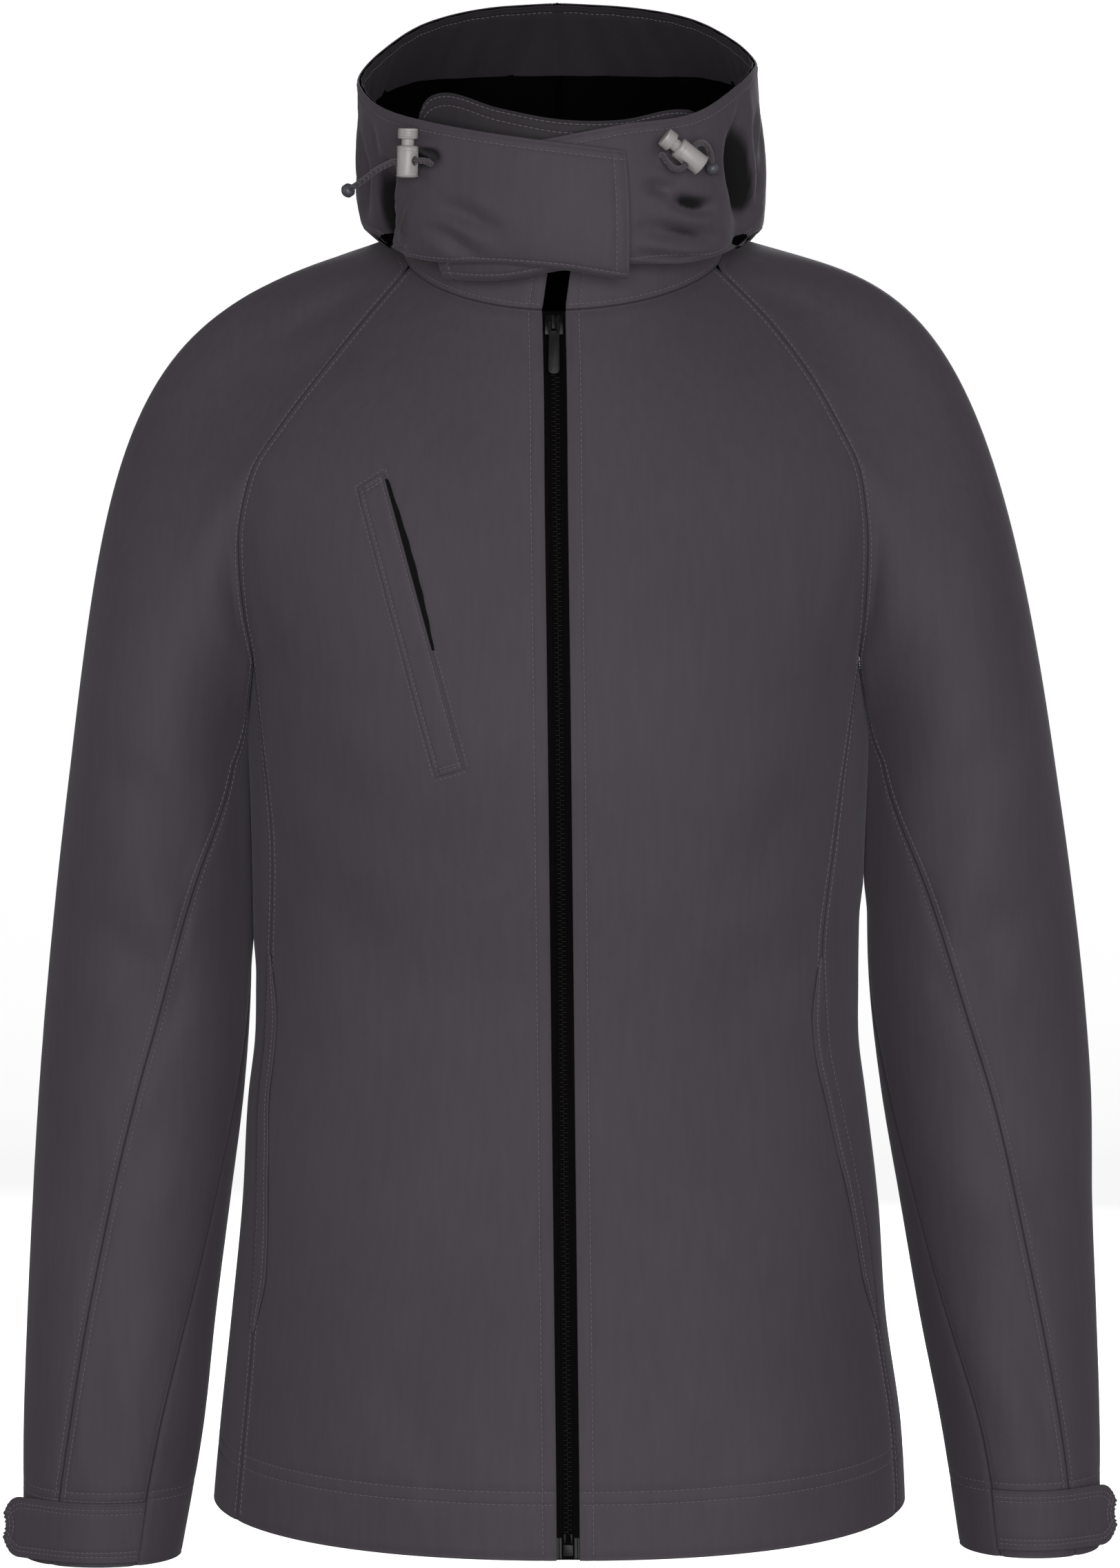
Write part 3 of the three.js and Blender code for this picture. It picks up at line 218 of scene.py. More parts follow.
def tube(path, radius, sides):
    """Grid of points round a path, columns along it and rows round it: radius times the cosine along
    one side of the path plus the sine along the other."""
    along = unit(np.gradient(path, axis=0))
    side = unit(np.cross(along, STEEP))
    other = np.cross(along, side)
    a = np.linspace(0, 2 * np.pi, sides, endpoint=False)[None, :, None]
    radius = np.broadcast_to(np.asarray(radius, float).reshape(-1, 1, 1), (len(path), 1, 1))
    return path[:, None] + radius * (np.cos(a) * side[:, None] + np.sin(a) * other[:, None])


def round_quads(columns, sides):
    """Quads of a grid of columns whose rows close round."""
    i, j = np.meshgrid(np.arange(columns - 1), np.arange(sides), indexing="ij")
    here, ahead, after = i * sides, (i + 1) * sides, (j + 1) % sides
    return np.stack([here + j, here + after, ahead + after, ahead + j], -1).reshape(-1, 4)


def ring_faces(columns, sides):
    """Faces of a tube grid, with both ends closed."""
    ends = [list(range(sides)), [(columns - 1) * sides + n for n in reversed(range(sides))]]
    return round_quads(columns, sides).tolist() + ends


cord_look = Look("braided_cord", "elastic_cord", Roughness=0.75, Sheen_Weight=0.25, Sheen_Roughness=0.5)
strand = cord_look.node(
    "ShaderNodeTexWave",
    {"Vector": cord_look.place(), "Scale": 420.0, "Distortion": 1.5, "Detail": 1.0},
    wave_type="BANDS",
    bands_direction="DIAGONAL",
)
cord_look.paint(strand, (0.028, 0.022, 0.028), (0.075, 0.06, 0.075))
cord_look.relief(strand, 0.0003, 0.6)

cords = {}
for side, route in CORD_ROUTES.items():
    path, length = smooth_path(route, CORD_STEPS)
    skin = tube(path, CORD_RADIUS, CORD_SIDES).reshape(-1, 3)
    faces = ring_faces(CORD_STEPS, CORD_SIDES)
    cord = keep(f"cord_{side}", skin, faces, cord_look, replaces=[f"drawcord_{side}"])
    cords[side] = (cord, path, length)


# Front panels: three-layer softshell, woven outside and fleece inside, cut in two fronts that run
# from the zip to the raglan seam, the armhole and the side-front seam, and turned up at the hem.

# Rows of a body panel, counted from the neck: the yoke's end at the armhole, the body's at the hem
YOKE_ROWS = 9
BODY_ROWS = 12
ALL_ROWS = YOKE_ROWS + BODY_ROWS
SIGN = {"right": -1, "left": 1}
ROUNDNESS = 0.9
NECK = {"right": 83.5, "left": 86.5, "depth": 77, "middle_y": -9, "level": 17, "tilt": 30, "side_rise": 3}
# Where the raglan seams meet the neck, in degrees round it, and its turns on the armhole line
FRONT_CORNER = 72
BACK_CORNER = 120
NECK_TURNS = (60, 120)
# Turns of the armhole line at which the side-front and the side-back seam start
FRONT_JOIN = -72
BACK_JOIN = 250
SEAM_HEM_TURN = {"front": 70, "back": 110}
HEM = {"level": -645, "front_drop": 13, "back_drop": 4, "power": 0.6}
ZIP_HALF_SLOT = 6.3
CLOTH_THICKNESS = 1.1
HEM_ROWS = (28.5, 35.0)


def mix(a, b, share):
    """A share of the way from a to b."""
    return a + (b - a) * share


def ease(low, high, value):
    """0 up to low and 1 from high on, with a smooth step between them: three squares less two cubes."""
    t = np.clip((np.asarray(value, float) - low) / (high - low), 0, 1)
    return t * t * (3 - 2 * t)


def at(x, y, z):
    """Points from three arrays."""
    return np.stack(np.broadcast_arrays(x, y, z), axis=-1).astype(float)


def smooth_table(keys, values):
    """Cubic through a table's values, with slopes weighted by the spans on both sides."""
    k, f = np.array(keys, float), np.array(values, float)
    if k[0] > k[-1]:
        k, f = k[::-1], f[::-1]
    span = np.diff(k)
    rise = np.diff(f) / span
    slope = np.concatenate([
        rise[:1], (rise[:-1] * span[1:] + rise[1:] * span[:-1]) / (span[1:] + span[:-1]), rise[-1:],
    ])

    def curve(value):
        value = np.asarray(value, float)
        i = np.clip(np.searchsorted(k, value, side="right") - 1, 0, len(k) - 2)
        s = np.clip((value - k[i]) / span[i], 0, 1)
        return (
            (2 * s**3 - 3 * s**2 + 1) * f[i] + (s**3 - 2 * s**2 + s) * span[i] * slope[i]
            + (3 * s**2 - 2 * s**3) * f[i + 1] + (s**3 - s**2) * span[i] * slope[i + 1]
        )

    return curve


def table(names, *rows):
    """Curves by column name; the first column is what they are read by."""
    columns = list(zip(*rows))
    return {name: smooth_table(columns[0], columns[i]) for i, name in enumerate(names.split()) if i}


TORSO = table(
    "z right left front back",
    (-195, 166.5, 163.0, 126, 116), (-235, 165.0, 162.5, 127.5, 112), (-300, 163.6, 161.0, 120, 103),
    (-372, 163.3, 160.2, 110, 93), (-402, 164.0, 160.6, 111, 95), (-430, 167.4, 164.2, 114, 99),
    (-490, 171.0, 171.4, 122, 111), (-550, 177.0, 175.6, 130, 121), (-610, 183.4, 184.0, 135, 129),
    (-660, 188.0, 187.0, 138, 132),
)
BODY_SEAMS = table(
    "z right left back",
    (-195, 77, 75, 106), (-231, 73, 69, 109), (-286, 67.5, 63, 112), (-350, 69, 58, 113),
    (-404, 71, 60, 113), (-470, 69, 66, 112), (-550, 65.5, 73, 111), (-660, 65, 74, 110),
)
CENTRE = table(
    "z x front back",
    (5, -3.4, -82, 86), (-13, -3.2, -86, 93), (-45, -2.8, -98, 102), (-90, -2.2, -111, 111),
    (-135, -1.6, -119, 116.5), (-180, -1.0, -124.5, 117), (-235, -0.3, -127.5, 112),
    (-300, 0.4, -120, 103), (-372, 1.2, -110, 93), (-430, 1.8, -114, 99), (-490, 2.5, -122, 111),
    (-550, 3.2, -130, 121), (-610, 3.9, -135, 129), (-660, 4.3, -138, 132),
)
ARMHOLE = table(
    "turn right left y z swing",
    (-110, 164.6, 162.6, 34, -207, 106), (-90, 167.4, 165.0, 1, -214, 90), (-72, 162.5, 158.4, -33, -198, 77),
    (-58, 166.2, 160.4, -45, -176, 70), (-40, 168.6, 161.6, -56, -148, 64),
    (-22, 167.6, 160.8, -63, -122, 61),
    (-8, 161.0, 156.8, -66.5, -96, 60), (8, 147.6, 147.0, -66.5, -75, 60), (25, 125.0, 130.0, -60, -45, 62),
    (42, 101.6, 108.0, -47, -16, 66), (60, 79.4, 82.3, -32.8, 10.4, 72), (120, 72.3, 74.9, 29.5, 34.2, 64),
    (138, 98.0, 103.0, 51, 5, 60), (155, 124.0, 129.0, 70, -36, 58), (172, 145.0, 145.0, 79, -74, 58),
    (188, 158.0, 154.5, 80, -108, 60), (206, 164.5, 160.0, 72, -147, 64), (225, 165.5, 162.0, 56, -182, 69),
    (250, 164.6, 162.6, 34, -207, 74),
)
# Soft creases in the front view: start, end, sideways bow, half width, depth (negative is a trough)
FRONT_CREASES = (
    (-92, -2, -150, -32, 4, 7, -2.2), (-96, -16, -158, -52, -5, 8, -1.8), (-84, 6, -126, -8, 3, 5, -1.6),
    (94, 2, 140, -18, -3, 7, -1.5),
    (-172, -118, -150, -205, 7, 8, -2.4), (164, -112, 142, -208, -7, 8, -3.0),
    (-150, -230, -96, -300, -8, 16, -1.6), (-158, -290, -90, -372, -10, 18, -1.8),
    (-150, -470, -70, -400, 10, 20, -1.6), (-120, -600, -40, -520, 12, 22, -1.5),
    (152, -250, 90, -330, 9, 17, -1.7), (156, -330, 80, -392, 8, 18, -1.8),
    (150, -470, 60, -430, -9, 22, -1.5), (110, -590, 30, -540, -9, 20, -1.4),
    (-60, -640, -95, -560, 5, 14, -1.1), (70, -640, 110, -585, -5, 14, -1.1),
    (-250, -240, -190, -330, -10, 15, -2.4), (-262, -330, -200, -392, -9, 14, -2.4),
    (-272, -420, -200, -350, 9, 15, -2.6), (-276, -500, -214, -440, 8, 13, -2.0),
    (-262, -590, -228, -520, 5, 11, -1.6), (-244, -560, -236, -640, 4, 9, -1.5),
    (250, -230, 190, -310, 10, 15, -2.4), (268, -320, 200, -380, 9, 14, -2.4),
    (276, -410, 206, -352, -9, 15, -2.4), (280, -498, 220, -440, -8, 13, -2.0),
    (268, -600, 236, -530, -6, 12, -1.8), (250, -560, 262, -640, -4, 9, -1.5),
)
# The same on the hidden side, seen from behind through the front
BACK_CREASES = (
    (-60, 20, -140, -40, 6, 12, -1.8), (60, 22, 142, -38, -6, 12, -1.7),
    (-150, -190, -80, -270, -9, 18, -2.2), (152, -200, 86, -280, 9, 18, -2.2),
    (-40, -350, 60, -372, 7, 16, -1.8), (-90, -392, 40, -404, -6, 14, -1.7),
    (-150, -460, -60, -400, 9, 20, -1.8), (150, -470, 50, -420, -9, 20, -1.8),
    (0, -120, 8, -260, 4, 22, -1.3),
    (-110, -600, -30, -500, 10, 24, -1.5), (100, -610, 40, -500, -9, 24, -1.5),
    (-256, -250, -188, -330, -9, 15, -2.6), (-270, -350, -196, -400, -8, 14, -2.6),
    (-276, -450, -204, -390, 9, 14, -2.4), (-270, -560, -222, -500, 6, 12, -1.8),
    (258, -250, 190, -335, 9, 15, -2.6), (276, -360, 200, -405, 8, 14, -2.6),
    (282, -455, 212, -395, -9, 14, -2.4), (274, -565, 230, -505, -6, 12, -1.8),
)


def neck(side, degrees):
    """Neck seam ring: an ellipse, lower in front, read in degrees from the centre front."""
    a = np.radians(degrees)
    sine = np.sin(a)
    lift = NECK["level"] - NECK["tilt"] * np.cos(a) + NECK["side_rise"] * sine * sine
    return at(SIGN[side] * NECK[side] * sine, NECK["middle_y"] - NECK["depth"] * np.cos(a), lift)


def armhole(side, turn):
    """The closed raglan and armhole line; between the neck turns it is the neck ring itself."""
    turn = np.asarray(turn, float)
    first, last = NECK_TURNS
    ring_part = neck(side, mix(FRONT_CORNER, BACK_CORNER, (turn - first) / (last - first)))
    line = at(SIGN[side] * ARMHOLE[side](turn), ARMHOLE["y"](turn), ARMHOLE["z"](turn))
    return np.where(((turn >= first) & (turn <= last))[..., None], ring_part, line)


def hem_at(degrees):
    """Height of the hem round the body, lowest at the centre front and the centre back."""
    cosine = np.cos(np.radians(degrees))
    drop = np.where(cosine > 0, HEM["front_drop"], HEM["back_drop"])
    return HEM["level"] - drop * np.abs(cosine) ** HEM["power"]


def ring(side, degrees, z):
    """Body ring below the armholes: a rounded ellipse, of its own depth before and behind."""
    a = np.radians(degrees)
    across = np.abs(np.sin(a)) ** ROUNDNESS
    along = np.abs(np.cos(a)) ** ROUNDNESS
    y = np.where(np.asarray(degrees) < 90, -TORSO["front"](z), TORSO["back"](z)) * along
    return at(SIGN[side] * TORSO[side](z) * across, y, z)


# The seam leaves the armhole's corner over the first of this many parts of the body rows
CORNER_FADE = 6


def body_row(side, row, behind):
    """End point of a body row and the angle that its arc swings through."""
    row = np.asarray(row, float)
    join = BACK_JOIN if behind else FRONT_JOIN
    turn = mix(float(NECK_TURNS[behind]), join, np.clip(row / YOKE_ROWS, 0, 1))
    share = np.clip((row - YOKE_ROWS) / BODY_ROWS, 0, 1)
    start = armhole(side, float(join))
    seam = BODY_SEAMS["back" if behind else side]
    z = mix(start[2], hem_at(SEAM_HEM_TURN["back" if behind else "front"]), share)
    end = ring(side, seam(z), z)
    base = ring(side, seam(start[2]), start[2])
    end = end + (start - base) * (np.maximum(0, 1 - share * CORNER_FADE) ** 2)[..., None]
    yoke = row <= YOKE_ROWS
    swing = 180 - seam(z) if behind else seam(z)
    return np.where(yoke[..., None], armhole(side, turn), end), np.where(yoke, ARMHOLE["swing"](turn), swing)


# Heights of the centre line at the neck and at the armhole's row, and how the nape rises to the neck
CENTRE_Z = {"front": (-13, -213), "back": (47, -212)}
NAPE = {"z": 5, "y": 86, "power": 1.3}


def centre_point(row, behind):
    """Where the centre line lies at a row."""
    row = np.asarray(row, float)
    top, middle = CENTRE_Z["back" if behind else "front"]
    hem = hem_at(180 if behind else 0)
    above = mix(top, middle, row / YOKE_ROWS)
    z = np.where(row <= YOKE_ROWS, above, mix(middle, hem, (row - YOKE_ROWS) / BODY_ROWS))
    if not behind:
        return at(CENTRE["x"](z), CENTRE["front"](z), z)
    up = np.clip((z - NAPE["z"]) / (top - NAPE["z"]), 0, 1)
    high = mix(NAPE["y"], NECK["middle_y"] + NECK["depth"], up ** NAPE["power"])
    return at(0, np.where(z > NAPE["z"], high, CENTRE["back"](z)), z)


def arc_point(start, end, swing, u, power):
    """Share u of the way from start to end, along part of an ellipse of that swing: across by the
    sine of the angle turned so far, back and down by 1 less its cosine."""
    s = np.radians(swing)
    across = (np.sin(s * u) / np.sin(s)) ** power
    turned = (1 - np.cos(s * u) ** power) / (1 - np.cos(s) ** power)
    return at(
        mix(start[..., 0], end[..., 0], across), mix(start[..., 1], end[..., 1], turned),
        mix(start[..., 2], end[..., 2], turned),
    )


def body_point(side, u, row, behind=False):
    """A point on the body: share u from the centre line to the row's end; rows ease into the neck ring."""
    u, row = np.clip(u, 0, 1), np.asarray(row, float)
    end, swing = body_row(side, row, behind)
    start = centre_point(row, behind)
    power = mix(1, ROUNDNESS, np.minimum(1, row / YOKE_ROWS))
    point = arc_point(start, end, swing, u, power)
    first_end, first_swing = body_row(side, 0, behind)
    first = arc_point(centre_point(0, behind), first_end, first_swing, u, 1)
    corner = 180 - BACK_CORNER if behind else FRONT_CORNER
    target = neck(side, 180 - corner * u if behind else corner * u)
    target = target + at((1 - u) * start[..., 0], 0, 0)
    near = 1 - ease(0, YOKE_ROWS * 0.5, row)
    return point + (target - first) * near[..., None]


def share_at(side, row, distance):
    """Share along a front row at which the panel lies a distance from the zip line: the arc's formula
    across, solved for its share."""
    end, swing = body_row(side, row, False)
    width = np.abs(end[..., 0] - centre_point(row, False)[..., 0])
    power = mix(1, ROUNDNESS, np.minimum(1, row / YOKE_ROWS))
    s = np.radians(swing)
    return np.arcsin((distance / width) ** (1 / power) * np.sin(s)) / s


# Distances in mm between the samples of a piece: from an edge, from a stitch row and in between
EDGE_STEPS = (0.1, 0.6, 1.2, 2.0)
ROW_STEPS = (-0.9, -0.45, 0, 0.45, 0.9)
FILL_STEP = 6.0
LEAST_STEP = 0.2
EDGE_SHARE = 0.42
BASE_GRID = (121, 181)


def steps_by(*stitched):
    """Distances from an edge at which a piece is sampled: close at the edge and at each stitch row."""
    near = set(EDGE_STEPS) | {line + step for line in stitched for step in ROW_STEPS}
    near |= set(np.arange(FILL_STEP, max(stitched, default=0), FILL_STEP))
    near = sorted(near)
    return np.array([d for i, d in enumerate(near) if i == 0 or d - near[i - 1] > LEAST_STEP])


def spread(run, base, first, middle, last):
    """Parameters, down the first axis, at the distances first from the start of each run and last from
    its end, with middle even steps between them. Short runs squeeze those distances."""
    total = run[-1]
    squeeze = np.minimum(1, EDGE_SHARE * total / max(first[-1], last[-1]))
    low, high = first[-1] * squeeze, last[-1] * squeeze
    even = np.linspace(0, 1, middle + 2)[1:-1, None]
    wanted = np.vstack([
        first[:, None] * squeeze, low + (total - high - low) * even, total - last[::-1, None] * squeeze,
    ])
    return np.stack([np.interp(wanted[:, k], run[:, k], base) for k in range(run.shape[1])], axis=1)


def runs(points):
    """Distances run down the first axis of a grid of points."""
    steps = np.linalg.norm(np.diff(points, axis=0), axis=2)
    return np.vstack([np.zeros(points.shape[1]), np.cumsum(steps, axis=0)])


def sampled(surface, columns, rows, seams):
    """Grid of points of surface(u, v) and its u and v, from 0 to 1, with close columns and rows beside
    its edges and the stitch rows along them."""
    first, last, top, bottom = (steps_by(*seams.get(edge, ())) for edge in ("first", "last", "top", "bottom"))
    base, down = (np.linspace(0, 1, count) for count in BASE_GRID)
    u = spread(runs(surface(*np.meshgrid(base, down, indexing="ij"))), base, first, columns, last)
    lines = surface(u, np.broadcast_to(down, u.shape))
    v = spread(runs(lines.transpose(1, 0, 2)), down, top, rows, bottom).T
    u = np.stack([np.interp(v[k], down, u[k]) for k in range(len(u))])
    return surface(u, v), u, v


def normals_of(points, flip):
    """Unit normals of a grid from its neighbours on both sides."""
    across = np.cross(np.gradient(points, axis=0), np.gradient(points, axis=1))
    return unit(across) * (-1 if flip else 1)


def edge_distance(points, edge):
    """Distance in mm along the grid from one of its edges: first, last, top or bottom."""
    axis = 0 if edge in ("first", "last") else 1
    step = np.linalg.norm(np.diff(points, axis=axis), axis=2)
    if edge in ("last", "bottom"):
        run = np.flip(np.cumsum(np.flip(step, axis), axis=axis), axis)
        return np.concatenate([run, np.zeros_like(np.take(run, [0], axis=axis))], axis=axis)
    run = np.cumsum(step, axis=axis)
    return np.concatenate([np.zeros_like(np.take(run, [0], axis=axis)), run], axis=axis)


# The ridges beside a trough: their share of its depth, its depth at most, their place in half widths
RIDGE = {"share": 0.4, "deepest": -2.2, "place": 1.9}
FADE_POWER = 0.8


def troughs(x, z, rows):
    """Height of soft troughs along bowed lines: a bell curve across the line, less a low bell on each
    side, times a sine along it that fades both ends."""
    height = np.zeros_like(x)
    for x0, z0, x1, z1, bow, width, depth in rows:
        dx, dz = x1 - x0, z1 - z0
        length = math.hypot(dx, dz)
        s = np.clip(((x - x0) * dx + (z - z0) * dz) / length**2, 0, 1)
        d = (((x - x0) * dz - (z - z0) * dx) / length - bow * 4 * s * (1 - s)) / width
        low = RIDGE["share"] * max(depth, RIDGE["deepest"])
        ridge = low * np.exp(-((np.abs(d) - RIDGE["place"]) ** 2))
        height += np.sin(np.pi * s) ** FADE_POWER * (depth * np.exp(-d * d) - ridge)
    return height


# Where the arm leans on the body: its low end and the height that both sides bulge, by side, and the
# bulge's reach across the body, its middle and half width before and behind, and its soft ends
LEAN = {"right": (-345, 1.6), "left": (-315, 1.95)}
LEAN_REACH = {"x": (150, 185), "y": 4, "half": 20, "top": (-212, -232), "end": 22}
VIEW_GAIN = 1.4


def creased(points, normals, free):
    """Troughs of the front and back view, which fade where the cloth turns away from that side and where
    free is 0, and the soft bulge of body and sleeve towards each other below the armhole."""
    x, y, z = np.moveaxis(points, -1, 0)
    facing = normals[..., 1] * VIEW_GAIN
    before, behind = np.clip(-facing, 0, 1), np.clip(facing, 0, 1)
    height = (troughs(x, z, FRONT_CREASES) * before + troughs(x, z, BACK_CREASES) * behind) * free
    inner, outer = LEAN_REACH["x"]
    across = np.exp(-(((y - LEAN_REACH["y"]) / LEAN_REACH["half"]) ** 2))
    for side, (low, bulge) in LEAN.items():
        near = (x * SIGN[side] > inner) & (x * SIGN[side] < outer)
        height += near * bulge * across * ease(*LEAN_REACH["top"], z) * ease(low - LEAN_REACH["end"], low, z)
    return height


# Depth, distance and half width of the roll at a seam, and the same of the pull along a stitch row
ROLL = {"depth": 0.4, "place": 1.0, "half": 0.6}
PULL = {"depth": 0.34, "uneven": 0.05, "half": 0.75}


def seam_relief(points, seams):
    """Height along the seams: the cloth rolls into the seam and is pulled in along each stitch row,
    unevenly by two sines of the place."""
    height = np.zeros(points.shape[:2])
    x, z = points[..., 0], points[..., 2]
    wander = np.sin(z * 0.61 + x * 0.43) + np.sin(z * 0.23 - x * 0.31)
    for edge, stitched in seams.items():
        d = edge_distance(points, edge)
        height -= ROLL["depth"] * np.exp(-(((d - ROLL["place"]) / ROLL["half"]) ** 2))
        for line in stitched:
            pull = PULL["depth"] + PULL["uneven"] * wander
            height -= pull * np.exp(-(((d - line) / PULL["half"]) ** 2))
    return height


# How sewn edges thin out, and how far the rounded rim of a free edge bulges, in shares of the thickness
SEWN_EDGE = {"fade": 9.0, "thin": 0.3, "thick_from": 3}
RIM_BULGE = 0.28
# Painted shade: the fold depth at which it starts and over which it grows to full, and its strength and half
# width at sewn edges
PAINTED_FOLD_SHADE = {"from": 3.0, "over": 4.5, "seam": 0.5, "seam_half": 0.6}


def cloth(
    name, points, look, flip, seams=None, relief=0.0, thickness=CLOTH_THICKNESS, replaces=(), sewn=(),
    shade=0.0,
):
    """A closed cloth piece on a grid of outer points, with rounded edges, thinner at the sewn ones, and,
    for the softshell looks, fleece on its inner face. Its painted-shade attribute runs from 0 to 1 in deep
    folds, along sewn edges and where shade is given, as painted shade where little light gets in.
    Returns the piece, its final outer points and normals."""
    normals = normals_of(points, flip)
    from_sewn = np.full(points.shape[:2], SEWN_EDGE["fade"])
    if sewn:
        from_sewn = np.min([edge_distance(points, edge) for edge in sewn], axis=0)
    folds = creased(points, normals, ease(0, SEWN_EDGE["fade"], from_sewn)) + relief
    outer = points + normals * (folds + seam_relief(points, seams or {}))[..., None]
    normals = normals_of(outer, flip)
    share = mix(SEWN_EDGE["thin"], 1, ease(0, SEWN_EDGE["thick_from"], from_sewn))
    inner = outer - normals * (thickness * share)[..., None]
    columns, rows = outer.shape[:2]
    count = columns * rows
    ids = np.arange(count).reshape(columns, rows)
    loop = np.concatenate([ids[:, 0], ids[-1, 1:], ids[-2::-1, -1], ids[0, -2:0:-1]])
    flat_outer, flat_inner = outer.reshape(-1, 3), inner.reshape(-1, 3)
    between = flat_outer[loop] - flat_inner[loop]
    ahead = unit(np.roll(flat_outer[loop], -1, axis=0) - np.roll(flat_outer[loop], 1, axis=0))
    out = np.cross(ahead, unit(between)) * (-1 if flip else 1)
    rim = flat_inner[loop] + between / 2 + out * np.linalg.norm(between, axis=1, keepdims=True) * RIM_BULGE
    quads = np.stack([ids[:-1, :-1], ids[1:, :-1], ids[1:, 1:], ids[:-1, 1:]], -1).reshape(-1, 4)
    after = np.roll(loop, -1)
    rim_ids = 2 * count + np.arange(len(loop))
    rim_after = np.roll(rim_ids, -1)
    upper = np.stack([loop, rim_ids, rim_after, after], -1)
    lower = np.stack([rim_ids, loop + count, after + count, rim_after], -1)
    faces = np.vstack([quads, quads[:, ::-1] + count, upper, lower])
    if flip:
        faces = faces[:, ::-1]
    piece = keep(name, np.vstack([flat_outer, flat_inner, rim]), faces.tolist(), look, replaces=replaces)
    # Painted shade from 0 to 1 in deep folds, at sewn edges and where shade is given, kept as a point
    # attribute
    seam_painted_shade = PAINTED_FOLD_SHADE["seam"] * np.exp(-((from_sewn / PAINTED_FOLD_SHADE["seam_half"]) ** 2))
    deep = np.clip((-folds - PAINTED_FOLD_SHADE["from"]) / PAINTED_FOLD_SHADE["over"], 0, 1) + seam_painted_shade + shade
    deep = np.clip(deep, 0, 1).ravel()
    painted_shade = np.concatenate([deep, np.zeros(count), deep[loop]])
    piece.data.attributes.new("painted_shade", "FLOAT", "POINT").data.foreach_set("value", painted_shade)
    if look in (SHELL, SHELL_PAINTED_SHADE):
        piece.data.materials.append(FLEECE.material)
        inside = np.repeat([0, 1, 0], [len(quads), len(quads), 2 * len(loop)])
        piece.data.polygons.foreach_set("material_index", inside.astype(np.int32))
    return piece, outer, normals


def even_along(path, normals, pitch):
    """A path and its normals at an even pitch, measured along the path."""
    run = np.concatenate([[0], np.cumsum(np.linalg.norm(np.diff(path, axis=0), axis=1))])
    even = np.arange(0, run[-1], pitch)
    spots, up = (
        np.stack([np.interp(even, run, values[:, k]) for k in range(3)], axis=1) for values in (path, normals)
    )
    return spots, unit(up)


STITCH = {"pitch": 3.0, "short_pitch": 2.6, "share": 0.8, "radius": 0.3, "sides": 5, "rise": 1.6}
# Rings of one stitch: share of its length, height and girth in thread radii
STITCH_RINGS = (
    (0.0, -0.35, 0.45), (0.14, 0.1, 0.95), (0.5, 0.22, 1.0), (0.86, 0.1, 0.95), (1.0, -0.35, 0.45),
)


def stitches(name, paths, look, pitch=STITCH["pitch"]):
    """One mesh of lock stitches along paths of (points, normals): each stitch is a short thread that
    rises out of the cloth and dips back into it, five rings carried along its line."""
    sides, radius = STITCH["sides"], STITCH["radius"]
    angles = np.linspace(0, 2 * np.pi, sides, endpoint=False)[None, :, None]
    vertices, faces, used = [], [], 0
    for path, normals in paths:
        spots, up = even_along(path, normals, pitch)
        if len(spots) < 3:
            continue
        start, end, up = spots[:-1], mix(spots[:-1], spots[1:], STITCH["share"]), up[:-1]
        along = unit(end - start)
        side = np.cross(along, up)
        shape = []
        for share, rise, girth in STITCH_RINGS:
            centre = mix(start, end, share) + up * rise * radius * STITCH["rise"]
            turned = np.cos(angles) * side[:, None] + np.sin(angles) * up[:, None]
            shape.append(centre[:, None] + turned * radius * girth)
        shape = np.stack(shape, axis=1).reshape(len(start), -1, 3)
        quads = round_quads(len(STITCH_RINGS), sides)
        each = used + np.arange(len(start)) * shape.shape[1]
        faces.append((quads[None] + each[:, None, None]).reshape(-1, 4))
        vertices.append(shape.reshape(-1, 3))
        used += shape.shape[0] * shape.shape[1]
    return keep(name, np.vstack(vertices), np.vstack(faces).tolist(), look)


def softshell_look(name, tint, sheen, gloss=0.25):
    """Woven softshell: a fine crossed weave, faint streaks and clouds in the colour and a little sheen,
    with painted shade, nearly black, in deep folds and along seams."""
    look = Look(name, "softshell", Sheen_Weight=sheen, Sheen_Roughness=0.45, Specular_IOR_Level=gloss)
    look.shader.inputs["Sheen Tint"].default_value = (0.85, 0.8, 0.9, 1)
    painted_shade = look.node("ShaderNodeAttribute", output="Fac", attribute_name="painted_shade").smooth(0, 0.8)
    clouds = look.noise(7.0, 3.0)
    streaks = look.noise(260.0, 2.0, stretch=(1, 1, 0.12))
    grain = look.noise(1500.0, 2.0, 0.7)
    shade = clouds * 0.5 + streaks * 0.28 + grain * 0.22
    dark = tuple(c * 0.86 for c in tint)
    light = tuple(c * 1.14 for c in tint)
    woven = look.colour(shade.smooth(0.25, 0.75), dark, light)
    # Painted shade: the colour runs down to a twentieth of the tint where the painted-shade attribute is high
    look.paint(painted_shade, woven, tuple(c * 0.05 for c in tint))
    look.feed("Roughness", painted_shade * 0.2 + 0.62 + grain * 0.16)
    look.relief(grain * 0.6 + streaks * 0.4 + look.noise(90.0, 2.0) * 1.2, 0.00035, 0.5)
    return look


# Plum-grey outside, black fleece inside, and the softshell darkened as painted shade where the hood shades
# the facing and the guard
SHELL = softshell_look("softshell", (0.061, 0.0505, 0.062), 0.14)
FLEECE = softshell_look("fleece", (0.0018, 0.0015, 0.0018), 0.0, 0.02)
SHELL_PAINTED_SHADE = softshell_look("facing", (0.026, 0.022, 0.0265), 0.05)
THREAD = Look("thread", "softshell", Roughness=0.55, Specular_IOR_Level=0.4)
THREAD.paint(THREAD.noise(900.0), (0.085, 0.072, 0.088), (0.15, 0.13, 0.155))


